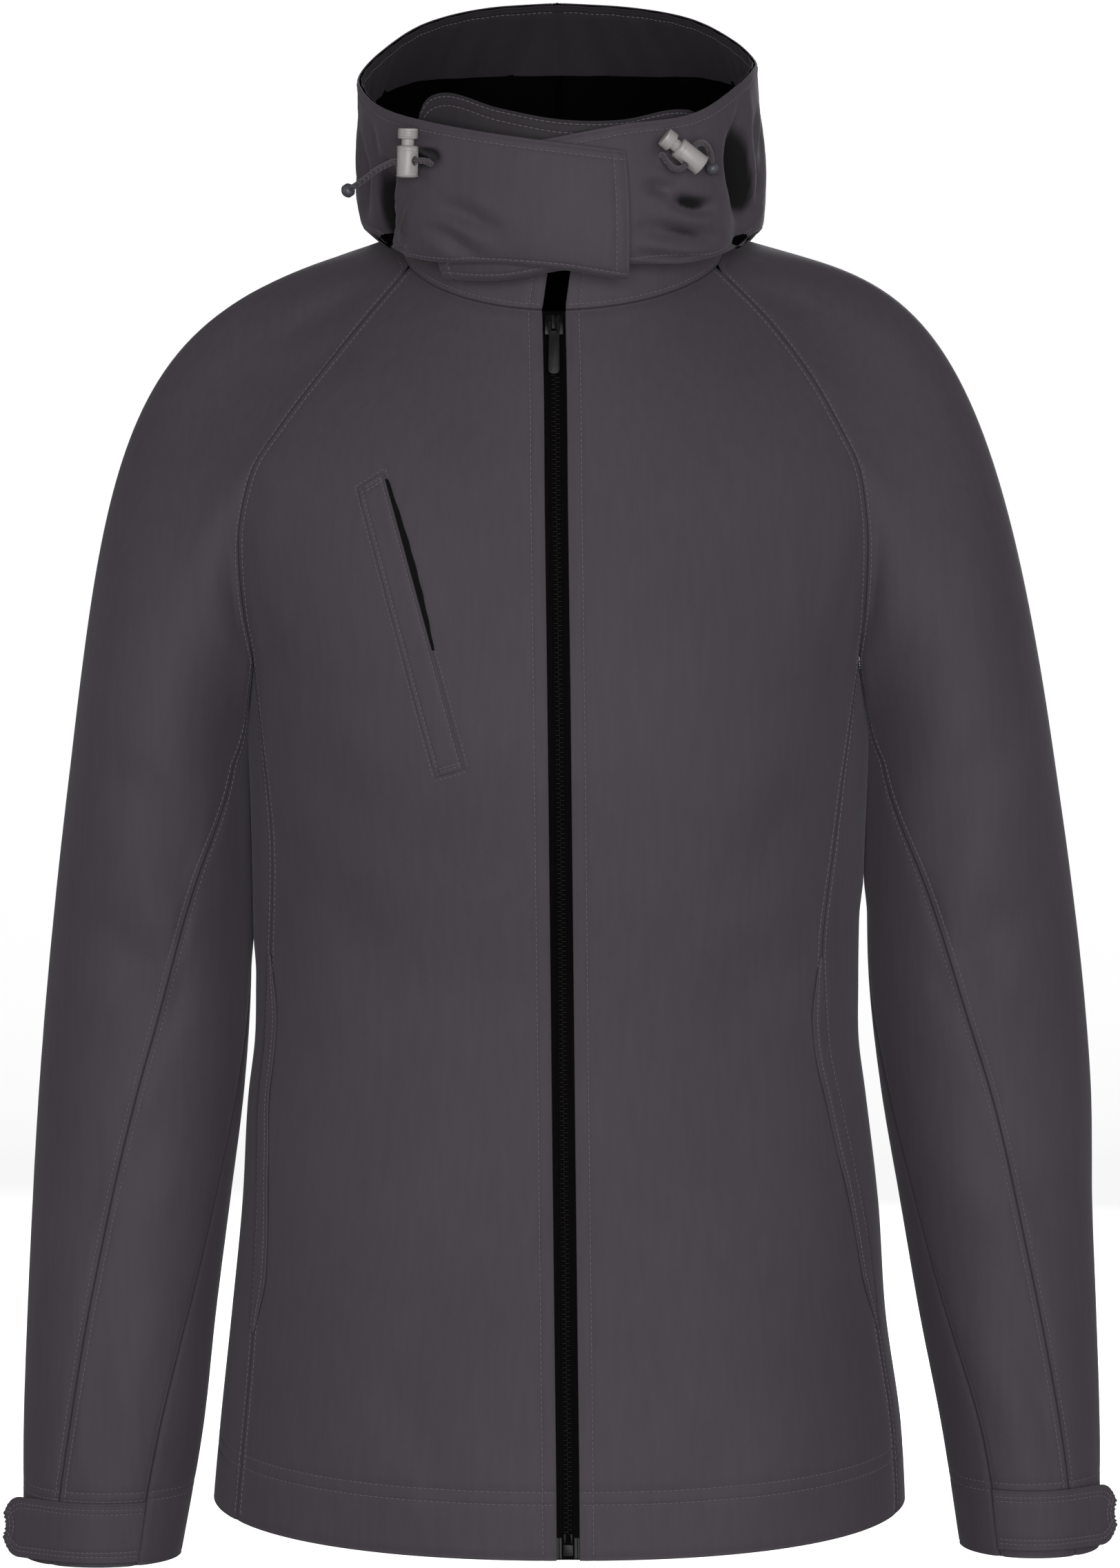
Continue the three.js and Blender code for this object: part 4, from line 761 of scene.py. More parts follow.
def seam_paths(outer, normals, seams):
    """The stitch rows along a panel's edges, as paths of points and normals."""
    paths = []
    for edge, stitched in seams.items():
        steps = steps_by(*stitched)
        for line in stitched:
            k = int(np.argmin(np.abs(steps - line)))
            k = -1 - k if edge in ("last", "bottom") else k
            pick = (k, slice(2, -2)) if edge in ("first", "last") else (slice(2, -2), k)
            paths.append((outer[pick], normals[pick]))
    return paths


def flat_size(points):
    """Width, length and area of a piece laid flat, in metres and square metres, from its grid: the
    longest row across, the longest column down, and half the cross products of each cell's diagonals."""
    width = np.linalg.norm(np.diff(points, axis=0), axis=2).sum(axis=0).max()
    length = np.linalg.norm(np.diff(points, axis=1), axis=2).sum(axis=1).max()
    a, b = points[1:, 1:] - points[:-1, :-1], points[1:, :-1] - points[:-1, 1:]
    area = np.linalg.norm(np.cross(a, b), axis=2).sum() / 2
    return (width * MM, length * MM), min(area, width * length) * MM * MM


def panel(name, node, surface, columns, rows, seams, flip, sewn, relief=None, also=(), look=None):
    """A cut and sewn panel over surface(u, v), its stitches, and its flat size."""
    points, u, v = sampled(surface, columns, rows, seams)
    height, shade = relief(points, u, v) if relief else (0.0, 0.0)
    piece, outer, normals = cloth(
        name, points, look or SHELL, flip, seams, height, replaces=[node, *also], sewn=sewn, shade=shade,
    )
    paths = seam_paths(outer, normals, seams)
    thread = [stitches(f"stitches_{node}", paths, THREAD)] if paths else []
    flat, area = flat_size(points)
    return piece, outer, normals


def body_panel(side, behind):
    """Surface of a front, or of the back from one side-back seam to the other."""
    if behind:
        return lambda u, v: np.where(
            (u < 0.5)[..., None], body_point("right", 1 - 2 * u, v * ALL_ROWS, True),
            body_point("left", 2 * u - 1, v * ALL_ROWS, True),
        )
    edge = lambda row: share_at(side, row, ZIP_HALF_SLOT)
    return lambda u, v: body_point(side, mix(edge(v * ALL_ROWS), 1, u), v * ALL_ROWS)


for side in SIGN:
    panel(
        f"shell_front_{side}", f"front_{side}", body_panel(side, False), 44, 128,
        {"first": (6.8,), "last": (3.0,), "top": (), "bottom": HEM_ROWS}, side == "left", ("last", "top"),
    )


# Back: one piece of the same softshell from side-back seam to side-back seam, sewn into both raglan
# seams, with the same turned-up hem.

panel(
    "shell_back", "back", body_panel("both", True), 96, 124,
    {"first": (3.0,), "last": (3.0,), "top": (), "bottom": HEM_ROWS}, False, ("first", "last", "top"),
)


# Side panels: a narrow strip of softshell under each arm, from the armhole to the hem, which shapes
# the waist. Both its seams are topstitched on either side.

# Height and angles of the ring that the panel's top is bent from, and how fast the bend fades
UNDER_ARM = {"z": -205.0, "front": 77, "back": 106, "rows": 5, "seam_width": 0.16}


def side_panel(side):
    """Side panel from the side-front seam, u 0, to the side-back seam, u 1: body rings that rise into
    the armhole at the top, held to both seams at the edges."""

    def rings(u, row):
        front_end, front_swing = body_row(side, row, False)
        back_end, back_swing = body_row(side, row, True)
        z = mix(front_end[..., 2], back_end[..., 2], u)
        point = ring(side, mix(front_swing, 180 - back_swing, u), z)
        under_arm = armhole(side, mix(FRONT_JOIN, -110.0, u))
        fade = np.maximum(0, 1 - (row - YOKE_ROWS) / UNDER_ARM["rows"]) ** 2
        bent_from = ring(side, mix(UNDER_ARM["front"], UNDER_ARM["back"], u), UNDER_ARM["z"])
        point = point + (under_arm - bent_from) * fade[..., None]
        return mix(under_arm, point, ease(-0.4, 1, row - YOKE_ROWS)[..., None])

    def surface(u, v):
        row = YOKE_ROWS + v * BODY_ROWS
        front_slip = body_row(side, row, False)[0] - rings(np.zeros_like(u), row)
        back_slip = body_row(side, row, True)[0] - rings(np.ones_like(u), row)
        near_front = np.exp(-((u / UNDER_ARM["seam_width"]) ** 2))[..., None]
        near_back = np.exp(-(((1 - u) / UNDER_ARM["seam_width"]) ** 2))[..., None]
        return rings(u, row) + near_front * front_slip + near_back * back_slip

    return surface


for side in SIGN:
    panel(
        f"shell_side_{side}", f"side_{side}", side_panel(side), 24, 104,
        {"first": (3.0,), "last": (3.0,), "top": (), "bottom": HEM_ROWS}, side == "left",
        ("first", "last", "top"),
    )


# Sleeves: raglan sleeves in two panels, the upper one over the shoulder and the under one inside the
# arm, joined by a topstitched front seam and an underarm seam, and turned up at the cuff.

ARM_TOP_Z = -252
CUFF_Z = {"right": -678.5, "left": -673.5}
CUFF_ROWS = (35.0, 39.5)
ARM = table(
    "z outer_right inner_right outer_left inner_left depth y",
    (-252, 262.4, 168.0, 265.4, 165.9, 62, 5), (-311, 269.8, 167.2, 274.3, 165.4, 60, 8),
    (-371, 276.1, 166.6, 281.7, 166.6, 58, 9), (-430, 281.0, 170.4, 286.4, 173.2, 56, 7),
    (-490, 284.4, 177.9, 287.0, 183.4, 53, 2), (-550, 287.0, 185.4, 289.0, 193.6, 49, -5),
    (-611, 288.8, 192.0, 290.6, 205.5, 44, -12), (-680, 288.4, 204.0, 290.2, 216.0, 38, -20),
)
SLEEVE_SEAMS = table(
    "down front under",
    (0, -72, -110), (0.3, -62, -112), (0.4, -31, -104), (0.55, -6, -78), (0.75, 14, -52),
    (0.9, 27, -32), (1, 36, -29),
)
# Share of the sleeve's length that is shoulder, and the shoulder line's slope as it leaves the armhole
# and the pulls of its curve at both ends, by side
SHOULDER_SHARE = 0.3
SHOULDER = {"right": (0.125, 1.36, 1.59), "left": (0.105, 0.91, 2.31)}
BACK_SLOPE = {"from_z": 20, "each_mm": 0.012}
UNDER_ARM_LEAVE = 0.12
ROUND_LEAVE = 0.4
BELOW = 4.0


def arm_point(side, turn, z):
    """Arm section: an ellipse at one height, with its outer edge at turn 90."""
    outer, inner = ARM[f"outer_{side}"](z), ARM[f"inner_{side}"](z)
    a = np.radians(turn)
    x = (outer + inner) / 2 + (outer - inner) / 2 * np.sin(a)
    return at(SIGN[side] * x, ARM["y"](z) - ARM["depth"](z) * np.cos(a), z)


def sleeve_point(side, turn, down):
    """Sleeve: a cubic from the armhole over the shoulder to the arm, then the arm's sections."""
    z = mix(ARM_TOP_Z, CUFF_Z[side], (down - SHOULDER_SHARE) / (1 - SHOULDER_SHARE))
    lower = arm_point(side, turn, np.minimum(z, ARM_TOP_Z))
    h = np.clip(down / SHOULDER_SHARE, 0, 1)[..., None]
    start = armhole(side, np.where(turn > BACK_JOIN, turn - 360, turn))
    end = arm_point(side, turn, float(ARM_TOP_Z))
    below = arm_point(side, turn, ARM_TOP_Z - BELOW)
    reach = np.linalg.norm(start - end, axis=-1, keepdims=True)
    a = np.radians(turn)
    high = (1 + np.sin(a)) / 2
    slope, leave_pull, arrive_pull = SHOULDER[side]
    steep = slope + np.maximum(0, start[..., 2] - BACK_SLOPE["from_z"]) * BACK_SLOPE["each_mm"]
    leave = unit(at(
        SIGN[side] * (high + UNDER_ARM_LEAVE * (1 - high)), ROUND_LEAVE * np.cos(a) * high,
        -steep * high - (1 - high),
    )) * reach * mix(1, leave_pull, high)[..., None]
    arrive = unit(below - end) * reach * mix(1, arrive_pull, high * high)[..., None]
    upper = (
        start * (2 * h**3 - 3 * h**2 + 1) + leave * (h**3 - 2 * h**2 + h)
        + end * (3 * h**2 - 2 * h**3) + arrive * (h**3 - h**2)
    )
    return np.where((down > SHOULDER_SHARE)[..., None], lower, upper)


def top_turn(share):
    """Turn round the armhole by share of the upper sleeve's top edge, in step with the body rows."""
    first, last = NECK_TURNS
    turns = np.concatenate([
        np.linspace(FRONT_JOIN, first, YOKE_ROWS + 1), np.linspace(first, last, 5)[1:],
        np.linspace(last, BACK_JOIN, YOKE_ROWS + 1)[1:],
    ])
    return np.interp(share, np.linspace(0, 1, len(turns)), turns)


def upper_sleeve(side):
    """Upper sleeve from the front seam, u 0, round the outside to the underarm seam, u 1."""

    def surface(u, v):
        first = (top_turn(u) - FRONT_JOIN) / (BACK_JOIN - FRONT_JOIN)
        turn = mix(SLEEVE_SEAMS["front"](v), SLEEVE_SEAMS["under"](v) + 360, mix(first, u, v))
        return sleeve_point(side, turn, v)

    return surface


def under_sleeve(side):
    """Under sleeve from the underarm seam, u 0, to the front seam, u 1."""
    return lambda u, v: sleeve_point(side, mix(SLEEVE_SEAMS["under"](v), SLEEVE_SEAMS["front"](v), u), v)


for side in SIGN:
    panel(
        f"shell_sleeve_upper_{side}", f"sleeve_upper_{side}", upper_sleeve(side), 72, 128,
        {"first": (3.0,), "last": (), "top": (3.0,), "bottom": CUFF_ROWS}, side == "left",
        ("first", "last", "top"),
    )
    panel(
        f"shell_sleeve_under_{side}", f"sleeve_under_{side}", under_sleeve(side), 22, 120,
        {"first": (), "last": (3.0,), "top": (), "bottom": CUFF_ROWS}, side == "left",
        ("first", "last", "top"),
    )


# Cuff tabs: a stiff double strap of softshell sewn flat round the front of the cuff, with a double row
# of topstitching. Its outer end is rounded and free, for the wearer to pull tight.

TAB = {
    "start": -29, "leave": 34, "wrapped": 0.6, "reach": 295.5, "height": 31, "corner": 9, "wall": 1.7,
    "lift": 2.4,
}
TAB_MIDDLE_Z = {"right": -660.4, "left": -653.6}
TAB_ROWS = (3.0, 5.4)


def tab_surface(side):
    """Cuff tab: round the arm's section to its leaving turn, then straight out, with rounded corners
    from narrowing towards the free end; v 0 is its top."""
    z = TAB_MIDDLE_Z[side]
    leave = arm_point(side, float(TAB["leave"]), z)
    straight = unit(leave - arm_point(side, TAB["leave"] - 1.0, z))
    length = (TAB["reach"] - abs(leave[0])) / abs(straight[0])

    def surface(u, v):
        free = (u - TAB["wrapped"]) / (1 - TAB["wrapped"])
        out = np.sin(np.pi / 2 * np.clip(free, 0, 1)) * length
        short = np.maximum(0, TAB["corner"] - (length - out))
        dip = TAB["corner"] - np.sqrt(np.maximum(0, TAB["corner"] ** 2 - short**2))
        level = z + (TAB["height"] / 2 - dip) * (1 - 2 * v)
        turn = mix(TAB["start"], TAB["leave"], np.clip(u / TAB["wrapped"], 0, 1))
        return arm_point(side, turn, level) + straight * out[..., None]

    return surface


for side in SIGN:
    seams = {"last": TAB_ROWS, "top": TAB_ROWS, "bottom": TAB_ROWS}
    points, u, v = sampled(tab_surface(side), 60, 8, seams)
    points = points + normals_of(points, side == "left") * TAB["lift"]
    tab, outer, normals = cloth(
        f"tab_{side}", points, SHELL, side == "left", seams, 0.0, TAB["wall"], [f"cuff_tab_{side}"],
    )
    paths = seam_paths(outer, normals, seams)
    thread = stitches(f"stitches_tab_{side}", paths, THREAD, STITCH["short_pitch"])
    flat, area = flat_size(points)


# Collar stand: a low band of softshell in two halves, one to each side of the zip, sewn on along the
# neck seam with a stitch row just above it. The hood is sewn to its top.

COLLAR = {"height": 24, "lower_behind": 5, "draw_in": 0.985}


def collar_top(side, degrees):
    """Where the collar ends and the hood starts, inside the hood's lower fold: the neck ring raised and
    drawn in towards its middle."""
    base = neck(side, degrees)
    middle, draw_in = NECK["middle_y"], COLLAR["draw_in"]
    rise = COLLAR["height"] - COLLAR["lower_behind"] * ease(60, 180, degrees)
    return at(base[..., 0] * draw_in, middle + (base[..., 1] - middle) * draw_in, base[..., 2] + rise)


def collar(side):
    """Collar from the zip, u 0, to the centre back, u 1; from its top, v 0, to the neck seam."""
    slot = math.degrees(ZIP_HALF_SLOT / NECK[side])
    start = share_at(side, 0.0, ZIP_HALF_SLOT)

    def surface(u, v):
        degrees = mix(slot, 180, u)
        front = np.clip((degrees - slot) / (FRONT_CORNER - slot), 0, 1)
        front_top = body_point(side, mix(start, 1, front), 0.0)
        low = np.where((degrees < FRONT_CORNER)[..., None], front_top, neck(side, degrees))
        return mix(collar_top(side, degrees), low, v[..., None])

    return surface


for side in SIGN:
    panel(
        f"shell_collar_{side}", f"collar_{side}", collar(side), 84, 4,
        {"first": (6.8,), "last": (), "top": (), "bottom": (2.8,)}, side == "left",
        ("last", "top", "bottom"),
    )


# Hood: two halves joined at the centre back, with a stitched drawcord casing round the rim. The right
# half runs on into the outer flap and the left half into the under flap; the lower edge is rolled
# under and sewn to the collar. A guard with rounded corners stands inside the crossing flaps.

# Degrees round the hood from the centre front: where each flap ends, where the hood joins the collar
# and where the right flap, lifted off the left one, lies down again
FLAP_ENDS = {"right": -18, "left": -39}
HOOD_JOIN = 40
FLAP_LIFT = 2.9
FLAP_FADE = {"right": (40, 62), "left": (24, 48)}
SIDE_FOLD = {"depth": 8, "width": 9, "low": 70, "high": 52, "starts": (0, 0.15), "ends": (0.55, 0.9)}
SLANT = (2, -1.5)
HOOD = table(
    "turn low low_z rim right left swell lean drop",
    (-40, 101, 3, 109, 64, 66, 4, 4, 24), (-18, 103, 2, 110, 68, 69, 8, 6, 24),
    (0, 104, 7, 110, 72, 75, 8, 6, 24), (18, 104, 10, 110, 77, 81.5, 8, 6, 24),
    (40, 104, 12, 110, 85, 88, 9, 5, 26), (60, 102, 19, 109, 94, 104, 10, 4, 28),
    (78, 102, 28, 107, 105, 115, 11, 1, 30), (92, 104, 30, 106, 112, 120, 9, 0, 32),
    (115, 108, 25, 105, 128, 134, 15, 10, 38), (140, 117, 6, 109, 146.5, 149, 32, 32, 44),
    (160, 125, -22, 114, 155.5, 156, 40, 44, 46), (180, 128, -36, 116, 159, 159, 42, 48, 46),
)
GUARD = table("turn z", (-46, 95), (-38, 98.5), (-18, 90), (0, 84), (18, 84), (36, 90), (46, 90))
GUARD_SIZE = {"end": 46, "rim": 101.5, "corner": 9, "inside": 0.6, "lean": 5.0, "rises": (0.3, 0.65)}
RIM_ROW = 4.8
CASING = {"raised": 0.35, "place": 2.4, "half": 1.8, "smooth_in_front": (40, 60)}
# Folds of the hood: start and end as degrees round and share of the height, bow, half width, depth
HOOD_FOLDS = {
    "right": (
        (54, 0.74, 70, 0.10, 4, 7.5, -9.5), (41, 0.62, 57, 0.10, -6, 4.5, -4.0),
        (33, 0.80, 45, 0.77, 1, 4.5, -9.0), (44, 0.86, 40, 0.66, 2, 5, -2.2),
        (33, 0.56, 16, 0.38, 2, 6, -2.8), (36, 0.42, 24, 0.12, 3, 6, -3.0),
        (48, 0.34, 58, 0.05, 3, 5, -3.0), (72, 0.80, 80, 0.22, 4, 7, -4.4),
        (64, 0.92, 66, 0.62, 3, 6, -2.4), (86, 0.85, 84, 0.35, -4, 9, -3.0),
        (100, 0.8, 106, 0.3, 5, 10, -3.2), (124, 0.85, 118, 0.3, -5, 12, -3.6),
        (146, 0.8, 152, 0.35, 6, 12, -3.0), (168, 0.85, 164, 0.4, -4, 12, -2.6),
        (110, 0.2, 160, 0.3, 8, 11, -3.4),
    ),
    "left": (
        (55, 0.84, 75, 0.22, 4, 7.5, -9.5), (36, 0.78, 50, 0.62, -5, 4.5, -4.4),
        (30, 0.60, 48, 0.46, 3, 5, -5.0),
        (20, 0.40, 50, 0.24, -4, 6, -4.0), (21, 0.22, 46, 0.10, 3, 5, -3.2), (27, 0.80, 31, 0.92, 2, 4, -2.4),
        (24, 0.66, 32, 0.60, 1, 4, -4.6), (70, 0.8, 78, 0.24, -4, 7, -4.2), (60, 0.94, 63, 0.66, 2, 6, -2.6),
        (88, 0.82, 82, 0.3, 4, 9, -3.2), (104, 0.8, 98, 0.35, -5, 10, -3.0),
        (120, 0.85, 128, 0.35, 5, 12, -3.6),
        (150, 0.85, 144, 0.3, -6, 12, -3.2), (105, 0.22, 155, 0.25, -8, 11, -3.6),
    ),
}
# Painted shade where the folds let no light in, in the same way, with a strength of the dark
HOOD_PAINTED_SHADE = {
    "right": (
        (60, 0.70, 70, 0.04, 2, 6.5, -1.2), (31, 0.82, 44, 0.78, 0, 5, -1.5),
        (42, 0.6, 50, 0.1, -3, 6, -0.35),
    ),
    "left": (
        (61, 0.80, 74, 0.30, 2, 5, -1.1), (32, 0.58, 45, 0.50, 1, 4.5, -0.8),
        (26, 0.42, 46, 0.26, -3, 5, -0.4),
    ),
}
# Size in mm that a degree and the whole height stand for in the two tables above
FOLD_SCALE = {"degree": 1.9, "height": 110.0}


def outward(side, degrees):
    """Level direction out from the neck at an angle from the centre front."""
    a = np.radians(degrees)
    return at(SIGN[side] * np.sin(a), -np.cos(a), 0)


def bezier(points, t):
    """Cubic curve over four control points."""
    a, b, c, d = points
    t = np.asarray(t)[..., None]
    return a * (1 - t) ** 3 + b * 3 * t * (1 - t) ** 2 + c * 3 * t * t * (1 - t) + d * t**3


def hood_point(side, degrees, t):
    """Outer face of the hood: a cubic curve from its lower fold, t 0, to its rim, t 1."""
    degrees, t = np.broadcast_arrays(np.asarray(degrees, float), t)
    out = outward(side, degrees)
    lift = -SIGN[side] * FLAP_LIFT * (1 - ease(*FLAP_FADE[side], degrees))
    up = np.zeros(out.shape) + (0, 0, 1)
    low = out * (HOOD["low"](degrees) + lift)[..., None] + up * HOOD["low_z"](degrees)[..., None]
    rim = out * (HOOD["rim"](degrees) + lift)[..., None] + up * HOOD[side](degrees)[..., None]
    second = rim + out * HOOD["lean"](degrees)[..., None] - up * HOOD["drop"](degrees)[..., None]
    point = bezier((low, low + out * HOOD["swell"](degrees)[..., None], second, rim), t)
    fold = mix(SIDE_FOLD["low"], SIDE_FOLD["high"], t)
    near = np.exp(-(((degrees - fold) / SIDE_FOLD["width"]) ** 2))
    held = ease(*SIDE_FOLD["starts"], t) * (1 - ease(*SIDE_FOLD["ends"], t))
    return point - out * (SIDE_FOLD["depth"] * near * held)[..., None] + at(mix(*SLANT, t), 0, 0)


# The hood's under side: its gap to the collar, the pulls of its curve at both ends in shares of its
# width, and the share of its rise by which it dips below the collar or the fold
UNDER_SIDE = {"gap": 0.4, "first": 0.3, "second": 0.45, "dip": 0.25}


def roll_point(side, degrees, t):
    """Under side of the lower fold: a cubic curve from the collar top, t 0, out to the fold, t 1."""
    out = outward(side, degrees)
    start = collar_top(side, degrees) + out * UNDER_SIDE["gap"]
    end = hood_point(side, degrees, 0.0)
    width = np.hypot(end[..., 0] - start[..., 0], end[..., 1] - start[..., 1])
    rise = end[..., 2] - start[..., 2]
    dip, first_pull, second_pull = (UNDER_SIDE[key] for key in ("dip", "first", "second"))
    first = start + out * (width * first_pull)[..., None] + at(0, 0, np.minimum(0, rise) * dip)
    second = end - out * (width * second_pull)[..., None] + at(0, 0, np.maximum(0, -rise) * dip)
    return bezier((start, first, second, end), t)


def hood_relief(side):
    """Folds, the raised casing round the rim, ripples where the casing is gathered, and painted shade beside
    the deepest folds.
    """
    across, high = FOLD_SCALE["degree"], FOLD_SCALE["height"]
    rows, dark = (
        [(a * across, b * high, c * across, d * high, *rest) for a, b, c, d, *rest in folds[side]]
        for folds in (HOOD_FOLDS, HOOD_PAINTED_SHADE)
    )

    def relief(points, u, v):
        degrees = mix(FLAP_ENDS[side], 180, u)
        rim = edge_distance(points, "top")
        behind = ease(*CASING["smooth_in_front"], degrees)
        ripple = np.sin(degrees * 0.9 + 2 * np.sin(degrees * 0.13)) * behind
        bulge = np.exp(-(((rim - CASING["place"]) / CASING["half"]) ** 2))
        casing = CASING["raised"] * bulge * (1 + 0.5 * ripple)
        folds = troughs(degrees * across, (1 - v) * high, rows) * ease(0, 12, edge_distance(points, "last"))
        # Painted shade beside the deepest folds, from 0 to 1
        shade = -troughs(degrees * across, (1 - v) * high, dark)
        return folds + casing, np.clip(shade, 0, 1)

    return relief


hood_seams = {"first": (6.7,), "last": (2.6,), "top": (RIM_ROW,), "bottom": (4.8,)}
# The facing inside the rim: its front edge in degrees, its depth in shares of the height in front and
# behind, and how far it lies inside the hood's outer face
FACING_STRIP = {
    "start": 63.3, "front": 0.09, "back": 0.2, "widens": (0, 0.4), "inside": 2.75, "thickness": 0.7,
}
for side in SIGN:
    flap = "hood_outer_flap" if side == "right" else "hood_under_flap"
    surface = lambda u, v: hood_point(side, mix(FLAP_ENDS[side], 180, u), 1 - v)
    panel(
        f"shell_hood_{side}", f"hood_{side}", surface, 120, 46, hood_seams, side == "left", ("last",),
        hood_relief(side), also=[flap],
    )
    surface = lambda u, v: roll_point(side, mix(HOOD_JOIN, 180, u), v)
    points, u, v = sampled(surface, 60, 8, {})
    cloth(f"hood_roll_{side}", points, SHELL, side == "right", sewn=("first", "last", "top", "bottom"))
    depth = lambda u: mix(FACING_STRIP["front"], FACING_STRIP["back"], ease(*FACING_STRIP["widens"], u))
    surface = lambda u, v: hood_point(side, mix(FACING_STRIP["start"], 180, u), 1 - v * depth(u))
    rim_seam = {"top": (RIM_ROW,)}
    points, u, v = sampled(surface, 70, 12, rim_seam)
    points = points - normals_of(points, side == "left") * FACING_STRIP["inside"]
    puckers = 0.5 * np.sin(u * 31 + 2 * v) * v + 0.25 * np.sin(u * 77 + 4 * v)
    # The facing is drawn in the painted-shade copy of the softshell
    facing, outer, normals = cloth(
        f"facing_{side}", points, SHELL_PAINTED_SHADE, side == "right", rim_seam, puckers, FACING_STRIP["thickness"],
        [f"hood_facing_{side}"],
    )
    thread = stitches(f"stitches_facing_{side}", seam_paths(outer, normals, rim_seam), THREAD)
    flat, area = flat_size(points)


def guard_point(turn, t):
    """Guard: a cubic curve from inside the collar top, t 0, to its top edge with rounded corners, t 1."""
    size = GUARD_SIZE
    angle = np.abs(turn)
    out = np.where((turn < 0)[..., None], outward("right", angle), outward("left", angle))
    seam = np.where((turn < 0)[..., None], collar_top("right", angle), collar_top("left", angle))
    start = seam - out * size["inside"] + at(0, 0, size["inside"])
    short = np.maximum(0, size["corner"] - np.radians(size["end"] - angle) * size["rim"])
    dip = size["corner"] - np.sqrt(np.maximum(0, size["corner"] ** 2 - short**2))
    high = GUARD["z"](turn) - dip
    top = out * size["rim"] + at(0, 0, high)
    low_rise, high_rise = size["rises"]
    first = start + out * size["lean"]
    first[..., 2] = mix(start[..., 2], high, low_rise)
    second = out * size["rim"] + at(0, 0, mix(start[..., 2], high, high_rise))
    return bezier((start, first, second, top), t)


guard_seams = {"first": (4.0,), "last": (4.0,), "top": (1.6, 6.3)}
surface = lambda u, v: guard_point(GUARD_SIZE["end"] * np.sin(np.pi * (u - 0.5)), 1 - v)
# The guard is drawn in the painted-shade copy of the softshell
panel(
    "shell_guard", "hood_guard", surface, 60, 24, guard_seams, True, ("bottom",),
    lambda points, u, v: (0.3 * np.sin(u * 19) * np.sin(v * 5), 0.0), look=SHELL_PAINTED_SHADE,
)


# Front zip: a nylon coil chain on two woven tapes, sewn behind the panel edges, with a die-cast slider,
# its hinged pull tab, and a box at the bottom where the two sides come apart.

TAPE = {"inner": 0.08, "outer": 11, "depth": 2.1, "thickness": 0.9, "seam": {"first": (3.4,)}}
# The coil: its turns reach out to the tape and a little over the middle; first and last are the body
# rows between which it runs
COIL = {
    "pitch": 2.5, "radius": 0.5, "reach": 2.9, "over": 0.8, "depth": 1.72, "first": 0.35, "last": 0.35,
    "bow": 0.22, "flat": 0.92, "core": 0.38, "core_sides": 6,
}
POST = {"length": 6.0, "radius": 0.9, "apart": 1.75, "above": 2.2, "lift": 0.3}
# The film on the tape ends: body rows above the end, distances from the zip line, and its ribs
FILM = {"rows": (0.31, 0.01), "across": (3.4, 6.0), "raised": 0.55, "thickness": 0.4, "ribs": 40, "rib": 0.14}
BEVEL = 0.35
BEVEL_FROM = 38
WELD_GAP = 0.01


def zip_point(side, row, distance):
    """Front panel point at a distance from the zip line, carried straight over the slot."""
    edge = body_point(side, share_at(side, row, ZIP_HALF_SLOT), row)
    over = edge + at(SIGN[side] * (np.asarray(distance) - ZIP_HALF_SLOT), 0, 0)
    on_panel = body_point(side, share_at(side, row, np.maximum(distance, ZIP_HALF_SLOT)), row)
    return np.where((distance < ZIP_HALF_SLOT)[..., None], over, on_panel)


def copies(shape, faces, spots, axes):
    """Points and faces of a small shape repeated at many spots, each turned to its own three axes."""
    points = spots[:, None] + np.einsum("kc,ncj->nkj", shape, axes)
    shift = np.arange(len(spots))[:, None, None] * len(shape)
    return points.reshape(-1, 3), (np.asarray(faces)[None] + shift).reshape(-1, 4)


# Rings of a pill: share of its half length and of its radius
PILL_SHARE = np.array([-1, -0.93, -0.72, 0, 0.72, 0.93, 1])
PILL_GIRTH = np.array([0.12, 0.62, 1, 1, 1, 0.62, 0.12])


def pill(length, radius, sides=8):
    """A short rod along X with rounded ends, as points and quads: circles that narrow at both ends."""
    a = np.linspace(0, 2 * np.pi, sides, endpoint=False)
    x = PILL_SHARE[:, None] * length / 2 + 0 * a
    ring_y, ring_z = (PILL_GIRTH[:, None] * radius * turned for turned in (np.cos(a), np.sin(a)))
    return np.stack([x, ring_y, ring_z], -1).reshape(-1, 3), round_quads(len(PILL_SHARE), sides)


tape_look = Look("zip_tape", "zip_tape", Specular_IOR_Level=0.03)
rib = tape_look.node(
    "ShaderNodeTexWave", {"Vector": tape_look.place(), "Scale": 310.0, "Distortion": 0.6},
    wave_type="BANDS", bands_direction="X",
)
woven = rib * 0.6 + tape_look.noise(900.0) * 0.4
tape_look.paint(woven, (0.0014, 0.0011, 0.0013), (0.0038, 0.003, 0.0035))
tape_look.feed("Roughness", tape_look.noise(300.0) * 0.2 + 0.6)
tape_look.relief(rib, 0.0002, 0.5)

coil_look = Look("zip_coil", "zip_coil", Specular_IOR_Level=0.12)
nylon = coil_look.noise(400.0)
coil_look.paint(nylon, (0.0016, 0.0013, 0.0015), (0.0045, 0.0038, 0.0043))
coil_look.feed("Roughness", coil_look.noise(700.0) * 0.2 + 0.32)

metal_look = Look("painted_metal", "slider_metal", Specular_IOR_Level=0.25)
worn = metal_look.noise(260.0, 4.0).smooth(0.45, 0.75)
metal_look.paint(worn, (0.0022, 0.0019, 0.0022), (0.006, 0.0052, 0.006))
metal_look.feed("Roughness", worn * 0.2 + 0.42)
metal_look.relief(metal_look.noise(1200.0), 0.0001, 0.3)

film_look = Look("zip_film", "zip_tape", Specular_IOR_Level=0.3)
film_look.paint(film_look.noise(300.0), (0.006, 0.0055, 0.0065), (0.018, 0.017, 0.019))
film_look.feed("Roughness", film_look.noise(600.0) * 0.2 + 0.3)


